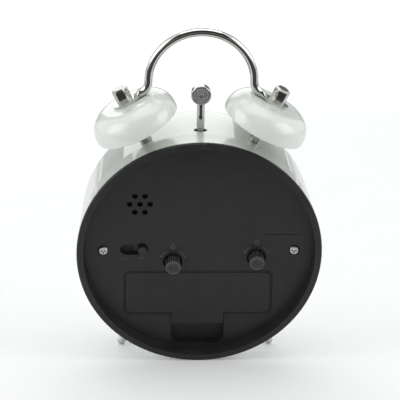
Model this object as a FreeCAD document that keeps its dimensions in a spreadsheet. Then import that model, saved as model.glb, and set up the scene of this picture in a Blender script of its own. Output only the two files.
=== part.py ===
import FreeCAD, Part
import math
import os
import Sketcher

# Twin-bell alarm clock, seen first from behind.
#
# Every piece is drawn in the clock's own directions: x to the right as seen from the front,
# y up along the case, z forward from the rear rim. The whole clock then leans back on its
# two feet and the lower edge of the rear rim, and stands with +Z up and its dial facing -Y.
# All lengths are millimetres, all angles degrees.

V = FreeCAD.Vector
DOC = FreeCAD.newDocument("TwinBellClock")
SHEET = DOC.addObject("Spreadsheet::Sheet", "Sizes")

SIZES = [
    # Case and rear rim
    ("rim_radius", 57.5, "outer radius of the rear cover's rim"),
    ("rim_width", 3.2, "width of the rim's flat face"),
    ("rim_depth", 2.0, "thickness of the rim over the case edge"),
    ("rim_edge", 0.8, "rounding of the rim's outer edge"),
    ("rim_step", 0.6, "how far the rim stands out over the case"),
    ("plate_depth", 6.7, "depth of the rear plate below the rim"),
    ("plate_thick", 2.2, "thickness of the rear plate"),
    ("plate_draft", 0.5, "how much the dish narrows towards the plate"),
    ("case_wall", 0.9, "sheet thickness of the case shell"),
    ("case_straight", 10.0, "straight length at the rear of the shell"),
    ("case_depth", 46.5, "front face of the shell, from the rim"),
    ("case_taper", 1.9, "how much the shell narrows towards the front"),
    ("shoulder", 6.0, "rounding of the shell's front shoulder"),
    ("seat_gap", 0.05, "radial clearance of seated pieces"),
    ("run_gap", 0.05, "radial clearance of turning shafts"),
    # Front
    ("front_lip", 1.5, "width of the shell's flat front, inside its shoulder"),
    ("bezel_lap", 2.0, "how far the bezel laps over the shell"),
    ("bezel_thick", 1.5, "thickness of the bezel's flange"),
    ("bezel_wall", 1.6, "thickness of the bezel's sleeve"),
    ("bezel_lip", 1.4, "how far the bezel laps over the lens"),
    ("bezel_length", 6.4, "length of the bezel's sleeve"),
    ("lens_thick", 1.6, "thickness of the lens"),
    ("spacer_wall", 1.8, "wall of the ring between lens and dial"),
    ("dial_sink", 8.5, "depth of the dial behind the shell's front"),
    ("dial_thick", 0.8, "thickness of the dial"),
    ("dial_hole", 4.0, "radius of the dial's centre hole"),
    ("frame_thick", 2.0, "thickness of the dial frame"),
    ("frame_margin", 1.0, "gap of the dial frame to the shell"),
    # Rear cover's fittings
    ("screw_spread", 45.0, "distance of the cover screws from the centre line"),
    ("screw_drop", 0.8, "how far the cover screws lie below the centre"),
    ("screw_head", 2.2, "radius of a cover screw's head"),
    ("screw_head_thick", 1.5, "thickness of a cover screw's head"),
    ("screw_sink", 0.7, "how far a cover screw's head is sunk"),
    ("screw_rim", 0.4, "radial room around a cover screw's head"),
    ("screw_shank", 1.1, "radius of a cover screw's shank"),
    ("screw_length", 12.0, "length of a cover screw under its head"),
    ("cross_length", 2.6, "length of a cross recess"),
    ("cross_width", 0.6, "width of a cross recess"),
    ("cross_depth", 0.8, "depth of a cross recess"),
    ("pillar_radius", 3.0, "radius of the dial frame's pillars"),
    ("sound_x", 27.9, "sound holes, across"),
    ("sound_y", 23.4, "sound holes, up"),
    ("sound_pitch", 4.75, "distance between sound holes"),
    ("sound_hole", 1.35, "radius of a sound hole"),
    ("sounder_radius", 10.0, "radius of the sounder"),
    ("sounder_thick", 4.0, "thickness of the sounder"),
    ("slot_x", 30.55, "middle of the switch slot, across"),
    ("slot_drop", 0.3, "how far the switch slot lies below the centre"),
    ("slot_length", 13.1, "length of the switch slot"),
    ("slot_width", 5.8, "width of the switch slot"),
    ("button_radius", 2.1, "radius of the switch's button"),
    ("button_rise", 2.2, "how far the button stands above the plate"),
    ("button_play", 0.5, "gap from the button to the slot's end"),
    ("slider_half", 4.0, "half size of the slider's foot"),
    ("slider_thick", 2.0, "thickness of the slider's foot"),
    ("slider_gap", 0.3, "running gap around the slider"),
    ("switch_half_x", 10.9, "half length of the switch housing"),
    ("switch_half_y", 5.5, "half height of the switch housing"),
    ("switch_wall", 1.0, "wall of the switch housing"),
    ("switch_depth", 4.6, "depth of the switch housing"),
    ("board_thick", 1.2, "thickness of the switch's circuit board"),
    ("board_drop", 10.0, "how far the circuit board reaches down"),
    ("note_right", 30.4, "start of the engraved line"),
    ("note_left", 46.9, "end of the engraved line"),
    ("note_y", 7.5, "height of the engraved line"),
    ("note_width", 0.4, "width of the engraved line"),
    ("note_depth", 0.25, "depth of the engraved line"),
    # Setting knobs
    ("alarm_knob_x", 12.2, "alarm setting knob, across"),
    ("alarm_knob_drop", 7.2, "alarm setting knob, below the centre"),
    ("time_knob_x", 27.25, "time setting knob, across"),
    ("time_knob_drop", 5.0, "time setting knob, below the centre"),
    ("knob_radius", 3.7, "radius of a setting knob"),
    ("knob_hole", 4.5, "radius of the hole around a knob"),
    ("knob_face", 0.7, "depth of a knob's face below the rim"),
    ("knob_length", 7.6, "length of a knob"),
    ("knob_edge", 0.5, "chamfer of a knob's face"),
    ("flute_radius", 0.28, "radius of a knob's flutes"),
    ("knob_cup", 0.6, "depth of the dish in a knob's face"),
    ("setter_radius", 1.4, "radius of a setting shaft"),
    # Battery bay and door
    ("door_side", 19.2, "gap from the battery door's ends to the plate's edge, across"),
    ("door_top", 12.7, "door's upper edge, below the centre"),
    ("door_foot", 34.8, "door's lower edge, below the centre"),
    ("door_corner", 2.6, "corner radius of the door"),
    ("door_thick", 1.4, "thickness of the door"),
    ("door_gap", 0.25, "gap around the door"),
    ("ledge", 1.5, "width of the ledge behind the door"),
    ("tab_half", 12.7, "half width of the door's tab"),
    ("tab_foot", 40.6, "tab's lower edge, below the centre"),
    ("grip_margin", 1.8, "gap from the finger recess to the plate's edge"),
    ("grip_top", 37.6, "upper edge of the finger recess"),
    ("grip_depth", 5.0, "depth of the finger recess"),
    ("grip_corner", 4.6, "corner radius of the finger recess"),
    ("grip_wall", 1.5, "wall of the finger recess"),
    ("tray_wall", 1.4, "wall of the battery tray"),
    ("cell_radius", 7.1, "radius of the cell"),
    ("cell_length", 49.2, "length of the cell's can"),
    ("cell_gap", 0.3, "gap from the cell to the tray"),
    ("nub_radius", 2.6, "radius of the cell's contact nub"),
    ("nub_length", 1.2, "length of the cell's contact nub"),
    ("contact_thick", 0.4, "thickness of a battery contact"),
    ("contact_half", 5.0, "half height of a battery contact"),
    ("spring_wire", 0.4, "radius of the contact spring's wire"),
    ("spring_radius", 3.4, "radius of the contact spring"),
    ("spring_length", 3.8, "length of the contact spring"),
    ("spring_turns", 3.0, "turns of the contact spring"),
    # Bells, posts, nuts and handle
    ("bell_depth", 17.0, "plane of bells, hammer and handle, from the rim"),
    ("bell_angle", 26.0, "tilt of a bell from upright"),
    ("bell_lift", 9.4, "distance of a bell's lip from the shell"),
    ("bell_radius", 20.2, "radius of a bell's lip"),
    ("bell_waist", 19.9, "radius of a bell below its shoulder"),
    ("bell_height", 11.6, "height of a bell"),
    ("bell_round", 9.6, "rounding of a bell's shoulder"),
    ("bell_wall", 1.0, "sheet thickness of a bell"),
    ("lip_height", 1.6, "height of a bell's straight lip"),
    ("post_flat", 5.0, "a post's width across flats"),
    ("stud_radius", 1.5, "radius of a post's threaded ends"),
    ("stud_room", 0.1, "radial room around a threaded end"),
    ("stud_tail", 4.6, "length of a post's end inside the shell"),
    ("nut_flat", 6.6, "a cap nut's width across flats"),
    ("nut_height", 7.0, "height of a cap nut"),
    ("nut_depth", 5.4, "depth of a cap nut's thread"),
    ("nut_edge", 0.8, "chamfer of a cap nut"),
    ("inner_nut_flat", 5.0, "an inner nut's width across flats"),
    ("inner_nut_height", 2.2, "height of an inner nut"),
    ("handle_rod", 1.95, "radius of the handle's rod"),
    ("leg_inset", 10.8, "how far the handle's legs stand inside the nuts' middles"),
    ("arch_lift", 23.8, "height of the arch's centre above the shell"),
    ("handle_bend", 5.5, "radius of the handle's lower bends"),
    ("tab_thick", 1.3, "thickness of the handle's flattened ends"),
    ("tab_width", 7.0, "width of the handle's flattened ends"),
    ("tab_out", 2.7, "length of a flattened end's straight part beyond the nut's middle"),
    ("press_start", 7.8, "where the rod begins to flatten, from the nut's middle"),
    ("press_end", 4.4, "where the rod is flat, from the nut's middle"),
    # Hammer and its drive
    ("pivot_drop", 3.3, "how far the hammer's pivot lies below the shell's top"),
    ("hammer_reach", 20.9, "height of the hammer head's middle above the pivot"),
    ("head_radius", 4.6, "radius of the hammer head"),
    ("head_thick", 4.2, "thickness of the hammer head"),
    ("head_edge", 0.5, "rounding of the hammer head"),
    ("dimple_radius", 0.7, "radius of the centre dimple in the head"),
    ("dimple_depth", 0.5, "depth of the centre dimple in the head"),
    ("rod_radius", 1.85, "radius of the hammer's rod"),
    ("neck_radius", 1.45, "radius of the rod's neck in the case"),
    ("neck_lift", 1.0, "height above the shell where the rod's neck ends"),
    ("rod_sink", 1.5, "how far the rod goes into the head"),
    ("hammer_slot_x", 3.1, "half length of the hammer's slot"),
    ("hammer_slot_z", 2.3, "half width of the hammer's slot"),
    ("lever_thick", 1.6, "thickness of the hammer's lever"),
    ("lever_half", 2.2, "half width of the lever at its pivot"),
    ("lever_eye", 2.0, "height of the lever above its pivot"),
    ("fork_half", 2.4, "half width of the lever's fork"),
    ("fork_foot", 11.6, "how far the fork reaches below the pivot"),
    ("fork_slot", 0.95, "half width of the fork's slot"),
    ("fork_top", 3.6, "top of the fork's slot, below the pivot"),
    ("pin_radius", 0.7, "radius of the hammer's pivot pin"),
    ("ear_thick", 1.4, "thickness of the ears that hold the pin"),
    ("ear_gap", 0.4, "gap from the lever's sides to the ears"),
    ("ear_top", 1.1, "height of the ears above the pin's middle"),
    ("ear_foot", 1.9, "depth of the ears below the pin's middle"),
    ("ear_half", 7.6, "half width of the ears"),
    ("arm_width", 1.8, "width of the mount's side arms"),
    ("arm_top", 0.3, "top of the side arms, below the pin's middle"),
    ("arm_height", 2.8, "height of the side arms"),
    ("crank_throw", 3.0, "distance of the crank's pin from its shaft"),
    ("crank_radius", 4.2, "radius of the crank's disc"),
    ("crank_thick", 1.2, "thickness of the crank's disc"),
    ("crank_gap", 0.4, "gap from the crank's pin to the lever"),
    ("crank_pin", 0.7, "radius of the crank's pin"),
    ("crank_pin_length", 0.6, "length of the crank's pin"),
    ("motor_drop", 7.5, "how far the motor lies below the hammer's pivot"),
    ("motor_radius", 5.0, "radius of the bell motor"),
    ("mount_thick", 2.2, "thickness of the motor mount's foot"),
    ("motor_shaft", 0.75, "radius of the bell motor's shaft"),
    ("motor_gap", 0.5, "gap from the crank's disc to the motor"),
    ("sleeve_wall", 1.2, "wall of the sleeve around the motor"),
    # Feet
    ("foot_angle", 30.9, "direction of a foot from straight down"),
    ("foot_depth", 25.0, "plane of the feet, from the rim"),
    ("foot_length", 15.9, "how far a foot's end stands out from the shell"),
    ("foot_base", 3.0, "radius of a foot at the case"),
    ("foot_tip", 2.0, "radius of a foot's rounded end"),
    # Movement
    ("move_left", 37.5, "movement's edge beyond the time knob"),
    ("move_right", 19.5, "movement's edge beyond the alarm knob"),
    ("move_foot", 14.6, "movement's lower edge, below the centre"),
    ("move_top", 17.0, "movement's upper edge, above the centre"),
    ("move_wall", 1.4, "wall of the movement's case"),
    ("bridge_thick", 1.0, "thickness of the bridge plate"),
    ("layer_gap", 0.45, "gap between wheel layers"),
    ("wheel_thick", 1.0, "thickness of a toothed wheel"),
    ("arbor_radius", 0.5, "radius of a wheel's arbor"),
    ("second_shaft", 0.45, "radius of the seconds shaft"),
    ("tube_wall", 0.6, "wall of the minute, hour and alarm tubes"),
    ("hand_thick", 0.5, "thickness of a hand"),
    ("hand_gap", 0.7, "gap between hands"),
    ("second_length", 38.0, "length of the seconds hand"),
    ("second_tail", 11.0, "tail of the seconds hand"),
    ("second_width", 0.5, "half width of the seconds hand"),
    ("minute_length", 35.0, "length of the minute hand"),
    ("minute_width", 1.4, "half width of the minute hand"),
    ("hour_length", 24.0, "length of the hour hand"),
    ("hour_width", 1.9, "half width of the hour hand"),
    ("alarm_length", 17.0, "length of the alarm hand"),
    ("alarm_width", 0.8, "half width of the alarm hand"),
    ("hub_wall", 1.5, "how far a hand's hub stands out around its tube"),
    ("rotor_radius", 3.0, "radius of the rotor's magnet"),
    ("rotor_length", 2.6, "length of the rotor's magnet"),
    ("rotor_gap", 0.4, "gap from the magnet to the stator"),
    ("train_module", 0.3, "tooth size of the rear wheels"),
    ("rotor_angle", 150.0, "direction of the rotor from the centre, from the X axis"),
    ("third_angle", 60.0, "direction of the third wheel from the centre, from the X axis"),
    ("third_module", 0.24, "tooth size of the third wheel's pinion"),
    ("stator_thick", 1.0, "thickness of the stator"),
    ("stator_leg", 3.0, "width of the stator's legs"),
    ("stator_ring", 1.0, "metal around the rotor in the stator"),
    ("stator_reach", 17.5, "length of the stator from the rotor to its far leg"),
    ("stator_rise", 7.0, "height of the stator above the rotor"),
    ("coil_radius", 2.8, "radius of the coil"),
    ("coil_flange", 0.8, "thickness of the coil's flanges"),
    ("chip_half", 2.0, "half size of the chip"),
    ("crystal_radius", 1.0, "radius of the crystal's can"),
    ("crystal_length", 6.0, "length of the crystal's can"),
    ("clip_radius", 2.2, "radius of the movement screws' heads"),
    ("clip_shank", 1.0, "radius of the movement screws"),
    ("neck_post", 1.6, "radius of the movement's posts between bridge and cover"),
    ("foot_post", 2.2, "radius of the movement's posts under the bridge"),
    ("clip_inset", 3.6, "distance of the movement screws from its edges"),
]

# Teeth of the wheels and pinions.
TEETH = {
    "rotor": 8,
    "first": 40,
    "first_pinion": 8,
    "seconds": 48,
    "seconds_pinion": 8,
    "third": 60,
    "third_pinion": 8,
    "centre": 64,
    "cannon": 12,
    "motion": 36,
    "motion_pinion": 10,
    "hour": 40,
    "time_setter": 28,
    "alarm": 36,
    "alarm_setter": 20,
}
KNOB_FLUTES = 30


class Size:
    """A length that knows its number and the sheet expression that gives it."""

    def __init__(self, value, text):
        self.value = float(value)
        self.text = text

    def __add__(self, other):
        other = size(other)
        return Size(self.value + other.value, "(%s + %s)" % (self.text, other.text))

    def __radd__(self, other):
        return size(other) + self

    def __sub__(self, other):
        other = size(other)
        return Size(self.value - other.value, "(%s - %s)" % (self.text, other.text))

    def __rsub__(self, other):
        return size(other) - self

    def __mul__(self, other):
        other = size(other)
        return Size(self.value * other.value, "(%s * %s)" % (self.text, other.text))

    def __rmul__(self, other):
        return size(other) * self

    def __truediv__(self, other):
        other = size(other)
        return Size(self.value / other.value, "(%s / %s)" % (self.text, other.text))

    def __neg__(self):
        return size(0) - self


def size(number):
    """Wraps a plain number, and leaves a Size as it is."""
    if isinstance(number, Size):
        return number
    return Size(number, "%.9g" % number if number >= 0 else "(0 - %.9g)" % -number)


def sine(angle):
    """The sine of an angle in degrees."""
    return Size(math.sin(math.radians(angle.value)), "sin(%s * 1 deg)" % angle.text)


def cosine(angle):
    """The cosine of an angle in degrees."""
    return Size(math.cos(math.radians(angle.value)), "cos(%s * 1 deg)" % angle.text)


def fill_sheet():
    """Writes every named size into the sheet and returns them by name."""
    SHEET.set("A1", "Name")
    SHEET.set("B1", "Value")
    SHEET.set("C1", "Meaning")
    for row, (alias, number, meaning) in enumerate(SIZES, start=2):
        SHEET.set("A%d" % row, alias)
        SHEET.set("B%d" % row, "%.9g" % number)
        SHEET.set("C%d" % row, meaning)
        SHEET.setAlias("B%d" % row, alias)
    DOC.recompute()
    return {alias: Size(SHEET.get(alias), "Sizes." + alias) for alias, _, _ in SIZES}


class Named:
    """Gives each named size as an attribute."""

    def __init__(self, sizes):
        self.__dict__.update(sizes)


D = Named(fill_sheet())

NODES = []
PLACES = []


def new_body(label):
    """Starts a body whose label is its file's name."""
    body = DOC.addObject("PartDesign::Body", label)
    body.Label = label
    return body


def origin_plane(body, role):
    """Finds one of a body's own origin planes."""
    for feature in body.Origin.OriginFeatures:
        if feature.Role == role:
            return feature
    raise ValueError(role)


def new_sketch(body, height=0, role="XY_Plane"):
    """Adds a sketch on an origin plane, moved along the plane's normal."""
    sketch = body.newObject("Sketcher::SketchObject", body.Name + "_sketch")
    sketch.AttachmentSupport = (origin_plane(body, role), [""])
    sketch.MapMode = "FlatFace"
    height = size(height)
    sketch.AttachmentOffset = FreeCAD.Placement(V(0, 0, height.value), FreeCAD.Rotation())
    sketch.setExpression("AttachmentOffset.Base.z", height.text)
    return sketch


def radial_sketch(body, angle, distance=0):
    """Adds a sketch whose normal points back along a spoke, so many degrees from the top."""
    sketch = body.newObject("Sketcher::SketchObject", body.Name + "_spoke")
    sketch.AttachmentSupport = (origin_plane(body, "XZ_Plane"), [""])
    sketch.MapMode = "FlatFace"
    angle = size(angle)
    distance = size(distance)
    across = distance * sine(angle)
    along = -(distance * cosine(angle))
    turn = FreeCAD.Rotation(V(0, 1, 0), -angle.value)
    sketch.AttachmentOffset = FreeCAD.Placement(V(across.value, 0, along.value), turn)
    sketch.setExpression("AttachmentOffset.Base.x", across.text)
    sketch.setExpression("AttachmentOffset.Base.z", along.text)
    sketch.setExpression("AttachmentOffset.Rotation.Angle", (-angle).text)
    return sketch


def pin_point(sketch, geometry, end, x, y):
    """Ties a point of a sketch to sizes of the sheet."""
    for kind, axis, amount in (("DistanceX", -2, size(x)), ("DistanceY", -1, size(y))):
        if amount.text == "0":
            sketch.addConstraint(Sketcher.Constraint("PointOnObject", geometry, end, axis))
            continue
        index = sketch.addConstraint(
            Sketcher.Constraint(kind, -1, 1, geometry, end, amount.value))
        sketch.setExpression("Constraints[%d]" % index, amount.text)


def draw_polygon(sketch, points):
    """Draws a closed outline through points given as pairs of sizes."""
    points = [(size(x), size(y)) for x, y in points]
    first = sketch.GeometryCount
    count = len(points)
    for index in range(count):
        a = points[index]
        b = points[(index + 1) % count]
        sketch.addGeometry(
            Part.LineSegment(V(a[0].value, a[1].value, 0), V(b[0].value, b[1].value, 0)), False)
    for index in range(count):
        following = first + (index + 1) % count
        sketch.addConstraint(Sketcher.Constraint("Coincident", first + index, 2, following, 1))
    for index, (x, y) in enumerate(points):
        pin_point(sketch, first + index, 1, x, y)
    return sketch


def draw_circle(sketch, x, y, radius):
    """Draws a circle at a point given as a pair of sizes."""
    x, y, radius = size(x), size(y), size(radius)
    circle = Part.Circle(V(x.value, y.value, 0), V(0, 0, 1), radius.value)
    index = sketch.addGeometry(circle, False)
    tie = sketch.addConstraint(Sketcher.Constraint("Radius", index, radius.value))
    sketch.setExpression("Constraints[%d]" % tie, radius.text)
    pin_point(sketch, index, 3, x, y)
    return sketch


def rectangle(x0, x1, y0, y1):
    """The corners of a rectangle."""
    return [(x0, y0), (x1, y0), (x1, y1), (x0, y1)]


def hexagon(flats):
    """The corners of a hexagon of a given width across flats, two of them on the X axis."""
    half = size(flats) / 2
    corner = half / cosine(size(30))
    short = corner / 2
    return [(corner, 0), (short, half), (-short, half), (-corner, 0), (-short, -half), (short, -half)]


def pad(body, sketch, length, back=False):
    """Adds material along a sketch's normal, or against it."""
    feature = body.newObject("PartDesign::Pad", body.Name + "_pad")
    feature.Profile = sketch
    feature.setExpression("Length", size(length).text)
    feature.Reversed = back
    body.Tip = feature
    return feature


def cut(body, sketch, depth, back=True):
    """Cuts along a sketch's normal (back=True), or against it, and checks that it removed some."""
    DOC.recompute()
    before = body.Shape.Volume
    feature = body.newObject("PartDesign::Pocket", body.Name + "_pocket")
    feature.Profile = sketch
    feature.setExpression("Length", size(depth).text)
    feature.Reversed = back
    body.Tip = feature
    DOC.recompute()
    if not body.Shape.Volume < before - 1e-6:
        raise ValueError("the cut %s in %s removes nothing" % (feature.Name, body.Label))
    return feature


def turn(body, points):
    """Turns an outline of (radius, height) points about the body's Z axis."""
    sketch = body.newObject("Sketcher::SketchObject", body.Name + "_profile")
    sketch.AttachmentSupport = (origin_plane(body, "XZ_Plane"), [""])
    sketch.MapMode = "FlatFace"
    draw_polygon(sketch, points)
    feature = body.newObject("PartDesign::Revolution", body.Name + "_turned")
    feature.Profile = sketch
    feature.ReferenceAxis = (sketch, ["V_Axis"])
    feature.Angle = 360
    body.Tip = feature
    return feature


def soften(body, amount, wanted, kind="Fillet"):
    """Rounds or chamfers the edges that a test picks."""
    DOC.recompute()
    tip = body.Tip
    names = []
    for index, edge in enumerate(tip.Shape.Edges, start=1):
        if wanted(edge):
            names.append("Edge%d" % index)
    if not names:
        raise ValueError("no edge to soften on " + body.Label)
    feature = body.newObject("PartDesign::" + kind, body.Name + "_edge")
    feature.Base = (tip, names)
    feature.setExpression("Radius" if kind == "Fillet" else "Size", size(amount).text)
    body.Tip = feature
    return feature


def ring_edge(*rings):
    """Picks circular edges about Z by radius and height."""
    def test(edge):
        if not isinstance(edge.Curve, Part.Circle):
            return False
        for radius, height in rings:
            same = abs(edge.Curve.Radius - size(radius).value) < 1e-4
            level = abs(edge.Curve.Center.z - size(height).value) < 1e-4
            centred = math.hypot(edge.Curve.Center.x, edge.Curve.Center.y) < 1e-4
            if same and level and centred:
                return True
        return False
    return test


def upright_edge(*spots):
    """Picks edges along Z that stand over given points."""
    def test(edge):
        if len(edge.Vertexes) != 2:
            return False
        a, b = edge.Vertexes[0].Point, edge.Vertexes[1].Point
        if abs(a.x - b.x) > 1e-5 or abs(a.y - b.y) > 1e-5:
            return False
        for x, y in spots:
            if math.hypot(a.x - size(x).value, a.y - size(y).value) < 1e-4:
                return True
        return False
    return test


def level_edge(height):
    """Picks every edge that lies wholly at one height."""
    def test(edge):
        box = edge.BoundBox
        return abs(box.ZMin - size(height).value) < 1e-5 and abs(box.ZMax - size(height).value) < 1e-5
    return test


def block(body, x0, x1, y0, y1, z0, thick):
    """Adds a rectangular block standing on the height z0."""
    return pad(body, draw_polygon(new_sketch(body, z0), rectangle(x0, x1, y0, y1)), thick)


def carve(body, x0, x1, y0, y1, z0, depth):
    """Cuts a rectangular pocket that starts at the height z0 and goes forward."""
    return cut(body, draw_polygon(new_sketch(body, z0), rectangle(x0, x1, y0, y1)), depth)


def rod(body, x, y, radius, z0, length):
    """Adds a round rod along Z."""
    return pad(body, draw_circle(new_sketch(body, z0), x, y, radius), length)


def drill(body, spots, radius, z0, depth):
    """Cuts round holes along Z from the height z0 forward."""
    sketch = new_sketch(body, z0)
    for x, y in spots:
        draw_circle(sketch, x, y, radius)
    return cut(body, sketch, depth)


def seat(thing, place=None):
    """Gives a piece its place in the clock's directions."""
    PLACES.append((thing, place or FreeCAD.Placement()))
    return thing


def node(thing, place=None):
    """Lists a finished piece as a file of its own, in its place."""
    NODES.append(thing)
    return seat(thing, place)


def joined_node(thing):
    """Lists a piece made of others that are already in their places."""
    NODES.append(thing)
    return thing


def spoke_place(angle, depth, side=1):
    """A place whose Z axis points out along a spoke of the case."""
    first = FreeCAD.Rotation(V(1, 0, 0), -90)
    second = FreeCAD.Rotation(V(0, 0, 1), -side * angle)
    return FreeCAD.Placement(V(0, 0, depth), second.multiply(first))


def mirror_of(label, source):
    """The same piece on the other side of the clock's middle plane."""
    twin = DOC.addObject("Part::Mirroring", label)
    twin.Label = label
    twin.Source = source
    twin.Normal = (1, 0, 0)
    twin.Base = (0, 0, 0)
    return twin


def group_of(label, pieces):
    """One node for identical fasteners."""
    group = DOC.addObject("Part::Compound", label)
    group.Label = label
    group.Links = pieces
    return group


# Sizes that follow from the named ones.

rim_inner = D.rim_radius - D.rim_width
plate_radius = rim_inner - D.plate_draft
plate_front = D.plate_depth + D.plate_thick
case_rear = D.rim_radius - D.rim_step
case_front = case_rear - D.case_taper
straight_end = D.rim_depth + D.case_straight
spigot = case_rear - D.case_wall - D.seat_gap
opening_radius = case_front - D.shoulder - D.front_lip
dial_depth = D.case_depth - D.dial_sink


def skin_radius(depth):
    """Outer radius of the shell at a depth forward of its straight part."""
    share = (size(depth) - straight_end) / (D.case_depth - straight_end)
    return case_rear - D.case_taper * share


bell_lip = case_rear + D.bell_lift
bell_top = bell_lip + D.bell_height
sleeve_radius = opening_radius - D.seat_gap
lens_seat = sleeve_radius - D.bezel_wall
lens_radius = lens_seat - D.seat_gap
lens_rear = D.case_depth - D.lens_thick
dial_rear = dial_depth - D.dial_thick
frame_rear = dial_rear - D.frame_thick
frame_radius = skin_radius(dial_rear) - D.case_wall - D.frame_margin
screw_y = -D.screw_drop
sink_floor = D.plate_depth + D.screw_sink
slot_y = -D.slot_drop
alarm_x, alarm_y = D.alarm_knob_x, -D.alarm_knob_drop
time_x, time_y = -D.time_knob_x, -D.time_knob_drop
door_middle = -(D.door_top + D.door_foot) / 2
door_half = plate_radius - D.door_side
grip_foot = plate_radius - D.grip_margin
hammer_pivot = case_rear - D.pivot_drop
foot_reach = case_rear + D.foot_length

# Rear cover: a dished plate with a rim that laps over the shell's edge.

rear_cover = new_body("rear_cover")
turn(rear_cover, [
    (0, D.plate_depth), (plate_radius, D.plate_depth), (rim_inner, 0), (D.rim_radius, 0),
    (D.rim_radius, D.rim_depth), (spigot, D.rim_depth), (spigot, plate_front), (0, plate_front)])
soften(rear_cover, D.rim_edge, ring_edge((D.rim_radius, 0), (D.rim_radius, D.rim_depth)))
cup_half = D.tab_half + D.grip_wall
block(rear_cover, -cup_half, cup_half, -(grip_foot + D.grip_wall), -(D.grip_top - D.grip_wall),
      plate_front, D.grip_depth + D.grip_wall - D.plate_thick)
carve(rear_cover, -door_half, door_half, -D.door_foot, -D.door_top, D.plate_depth, D.door_thick)
soften(rear_cover, D.door_corner, upright_edge(
    (-door_half, -D.door_foot), (door_half, -D.door_foot),
    (-door_half, -D.door_top), (door_half, -D.door_top)))
carve(rear_cover, -D.tab_half, D.tab_half, -D.tab_foot, -D.door_foot, D.plate_depth, D.door_thick)
carve(rear_cover, D.ledge - door_half, door_half - D.ledge, D.ledge - D.door_foot,
      -(D.door_top + D.ledge), D.plate_depth, D.plate_thick)
carve(rear_cover, -D.tab_half, D.tab_half, -grip_foot, -D.grip_top, D.plate_depth, D.grip_depth)
soften(rear_cover, D.grip_corner, upright_edge(
    (-D.tab_half, -grip_foot), (D.tab_half, -grip_foot)))
half_pitch = D.sound_pitch / 2
row_step = D.sound_pitch * cosine(size(30))
drill(rear_cover, [
    (D.sound_x, D.sound_y), (D.sound_x - D.sound_pitch, D.sound_y),
    (D.sound_x + D.sound_pitch, D.sound_y), (D.sound_x - half_pitch, D.sound_y + row_step),
    (D.sound_x + half_pitch, D.sound_y + row_step), (D.sound_x - half_pitch, D.sound_y - row_step),
    (D.sound_x + half_pitch, D.sound_y - row_step)], D.sound_hole, D.plate_depth, D.plate_thick)
slot_end = (D.slot_length - D.slot_width) / 2
carve(rear_cover, D.slot_x - slot_end, D.slot_x + slot_end, slot_y - D.slot_width / 2,
      slot_y + D.slot_width / 2, D.plate_depth, D.plate_thick)
drill(rear_cover, [(D.slot_x - slot_end, slot_y), (D.slot_x + slot_end, slot_y)],
      D.slot_width / 2, D.plate_depth, D.plate_thick)
drill(rear_cover, [(alarm_x, alarm_y), (time_x, time_y)], D.knob_hole, D.plate_depth, D.plate_thick)
screw_spots = [(-D.screw_spread, screw_y), (D.screw_spread, screw_y)]
drill(rear_cover, screw_spots, D.screw_head + D.screw_rim, D.plate_depth, D.screw_sink)
drill(rear_cover, screw_spots, D.screw_shank + D.stud_room, sink_floor, D.plate_thick - D.screw_sink)
carve(rear_cover, -D.note_left, -D.note_right, D.note_y - D.note_width / 2,
      D.note_y + D.note_width / 2, D.plate_depth, D.note_depth)
node(rear_cover)

# Case shell: drawn sheet, straight at the rear, narrowing to a round front shoulder.

case_shell = new_body("case_shell")
turn(case_shell, [
    (case_rear, D.rim_depth), (case_rear, straight_end), (case_front, D.case_depth),
    (opening_radius, D.case_depth), (opening_radius, D.case_depth - D.case_wall),
    (case_front - D.case_wall, D.case_depth - D.case_wall), (case_rear - D.case_wall, straight_end),
    (case_rear - D.case_wall, D.rim_depth)])
soften(case_shell, D.shoulder, ring_edge((case_front, D.case_depth)))
soften(case_shell, D.shoulder - D.case_wall,
       ring_edge((case_front - D.case_wall, D.case_depth - D.case_wall)))
stud_hole = D.stud_radius + D.stud_room
for side in (1, -1):
    spoke = radial_sketch(case_shell, D.bell_angle * side)
    cut(case_shell, draw_circle(spoke, 0, D.bell_depth, stud_hole), D.rim_radius, back=False)
    spoke = radial_sketch(case_shell, D.foot_angle * -side)
    cut(case_shell, draw_circle(spoke, 0, D.foot_depth, stud_hole), D.rim_radius, back=True)
slot = radial_sketch(case_shell, 0)
round_end = D.hammer_slot_x - D.hammer_slot_z
draw_polygon(slot, rectangle(-round_end, round_end, D.bell_depth - D.hammer_slot_z,
                             D.bell_depth + D.hammer_slot_z))
cut(case_shell, slot, D.rim_radius, back=False)
for side in (1, -1):
    end = radial_sketch(case_shell, 0)
    draw_circle(end, round_end * side, D.bell_depth, D.hammer_slot_z)
    cut(case_shell, end, D.rim_radius, back=False)
node(case_shell)

# Front: bezel, lens, the ring behind the lens, dial and the frame that carries them.

bezel_ring = new_body("bezel_ring")
bezel_front = D.case_depth + D.bezel_thick
bezel_outer = opening_radius + D.bezel_lap
sleeve_end = D.case_depth - D.bezel_length
turn(bezel_ring, [
    (lens_seat - D.bezel_lip, bezel_front), (bezel_outer, bezel_front), (bezel_outer, D.case_depth),
    (sleeve_radius, D.case_depth), (sleeve_radius, sleeve_end), (lens_seat, sleeve_end),
    (lens_seat, D.case_depth), (lens_seat - D.bezel_lip, D.case_depth)])
soften(bezel_ring, D.bezel_thick / 2, ring_edge((bezel_outer, bezel_front)))
node(bezel_ring)

lens = new_body("lens")
turn(lens, [(0, lens_rear), (lens_radius, lens_rear), (lens_radius, D.case_depth), (0, D.case_depth)])
node(lens)

dial_spacer = new_body("dial_spacer")
turn(dial_spacer, [
    (lens_radius - D.spacer_wall, dial_depth), (lens_radius, dial_depth), (lens_radius, lens_rear),
    (lens_radius - D.spacer_wall / 2, lens_rear)])
node(dial_spacer)

dial = new_body("dial")
turn(dial, [(D.dial_hole, dial_rear), (lens_radius, dial_rear), (lens_radius, dial_depth),
            (D.dial_hole, dial_depth)])
node(dial)

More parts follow.
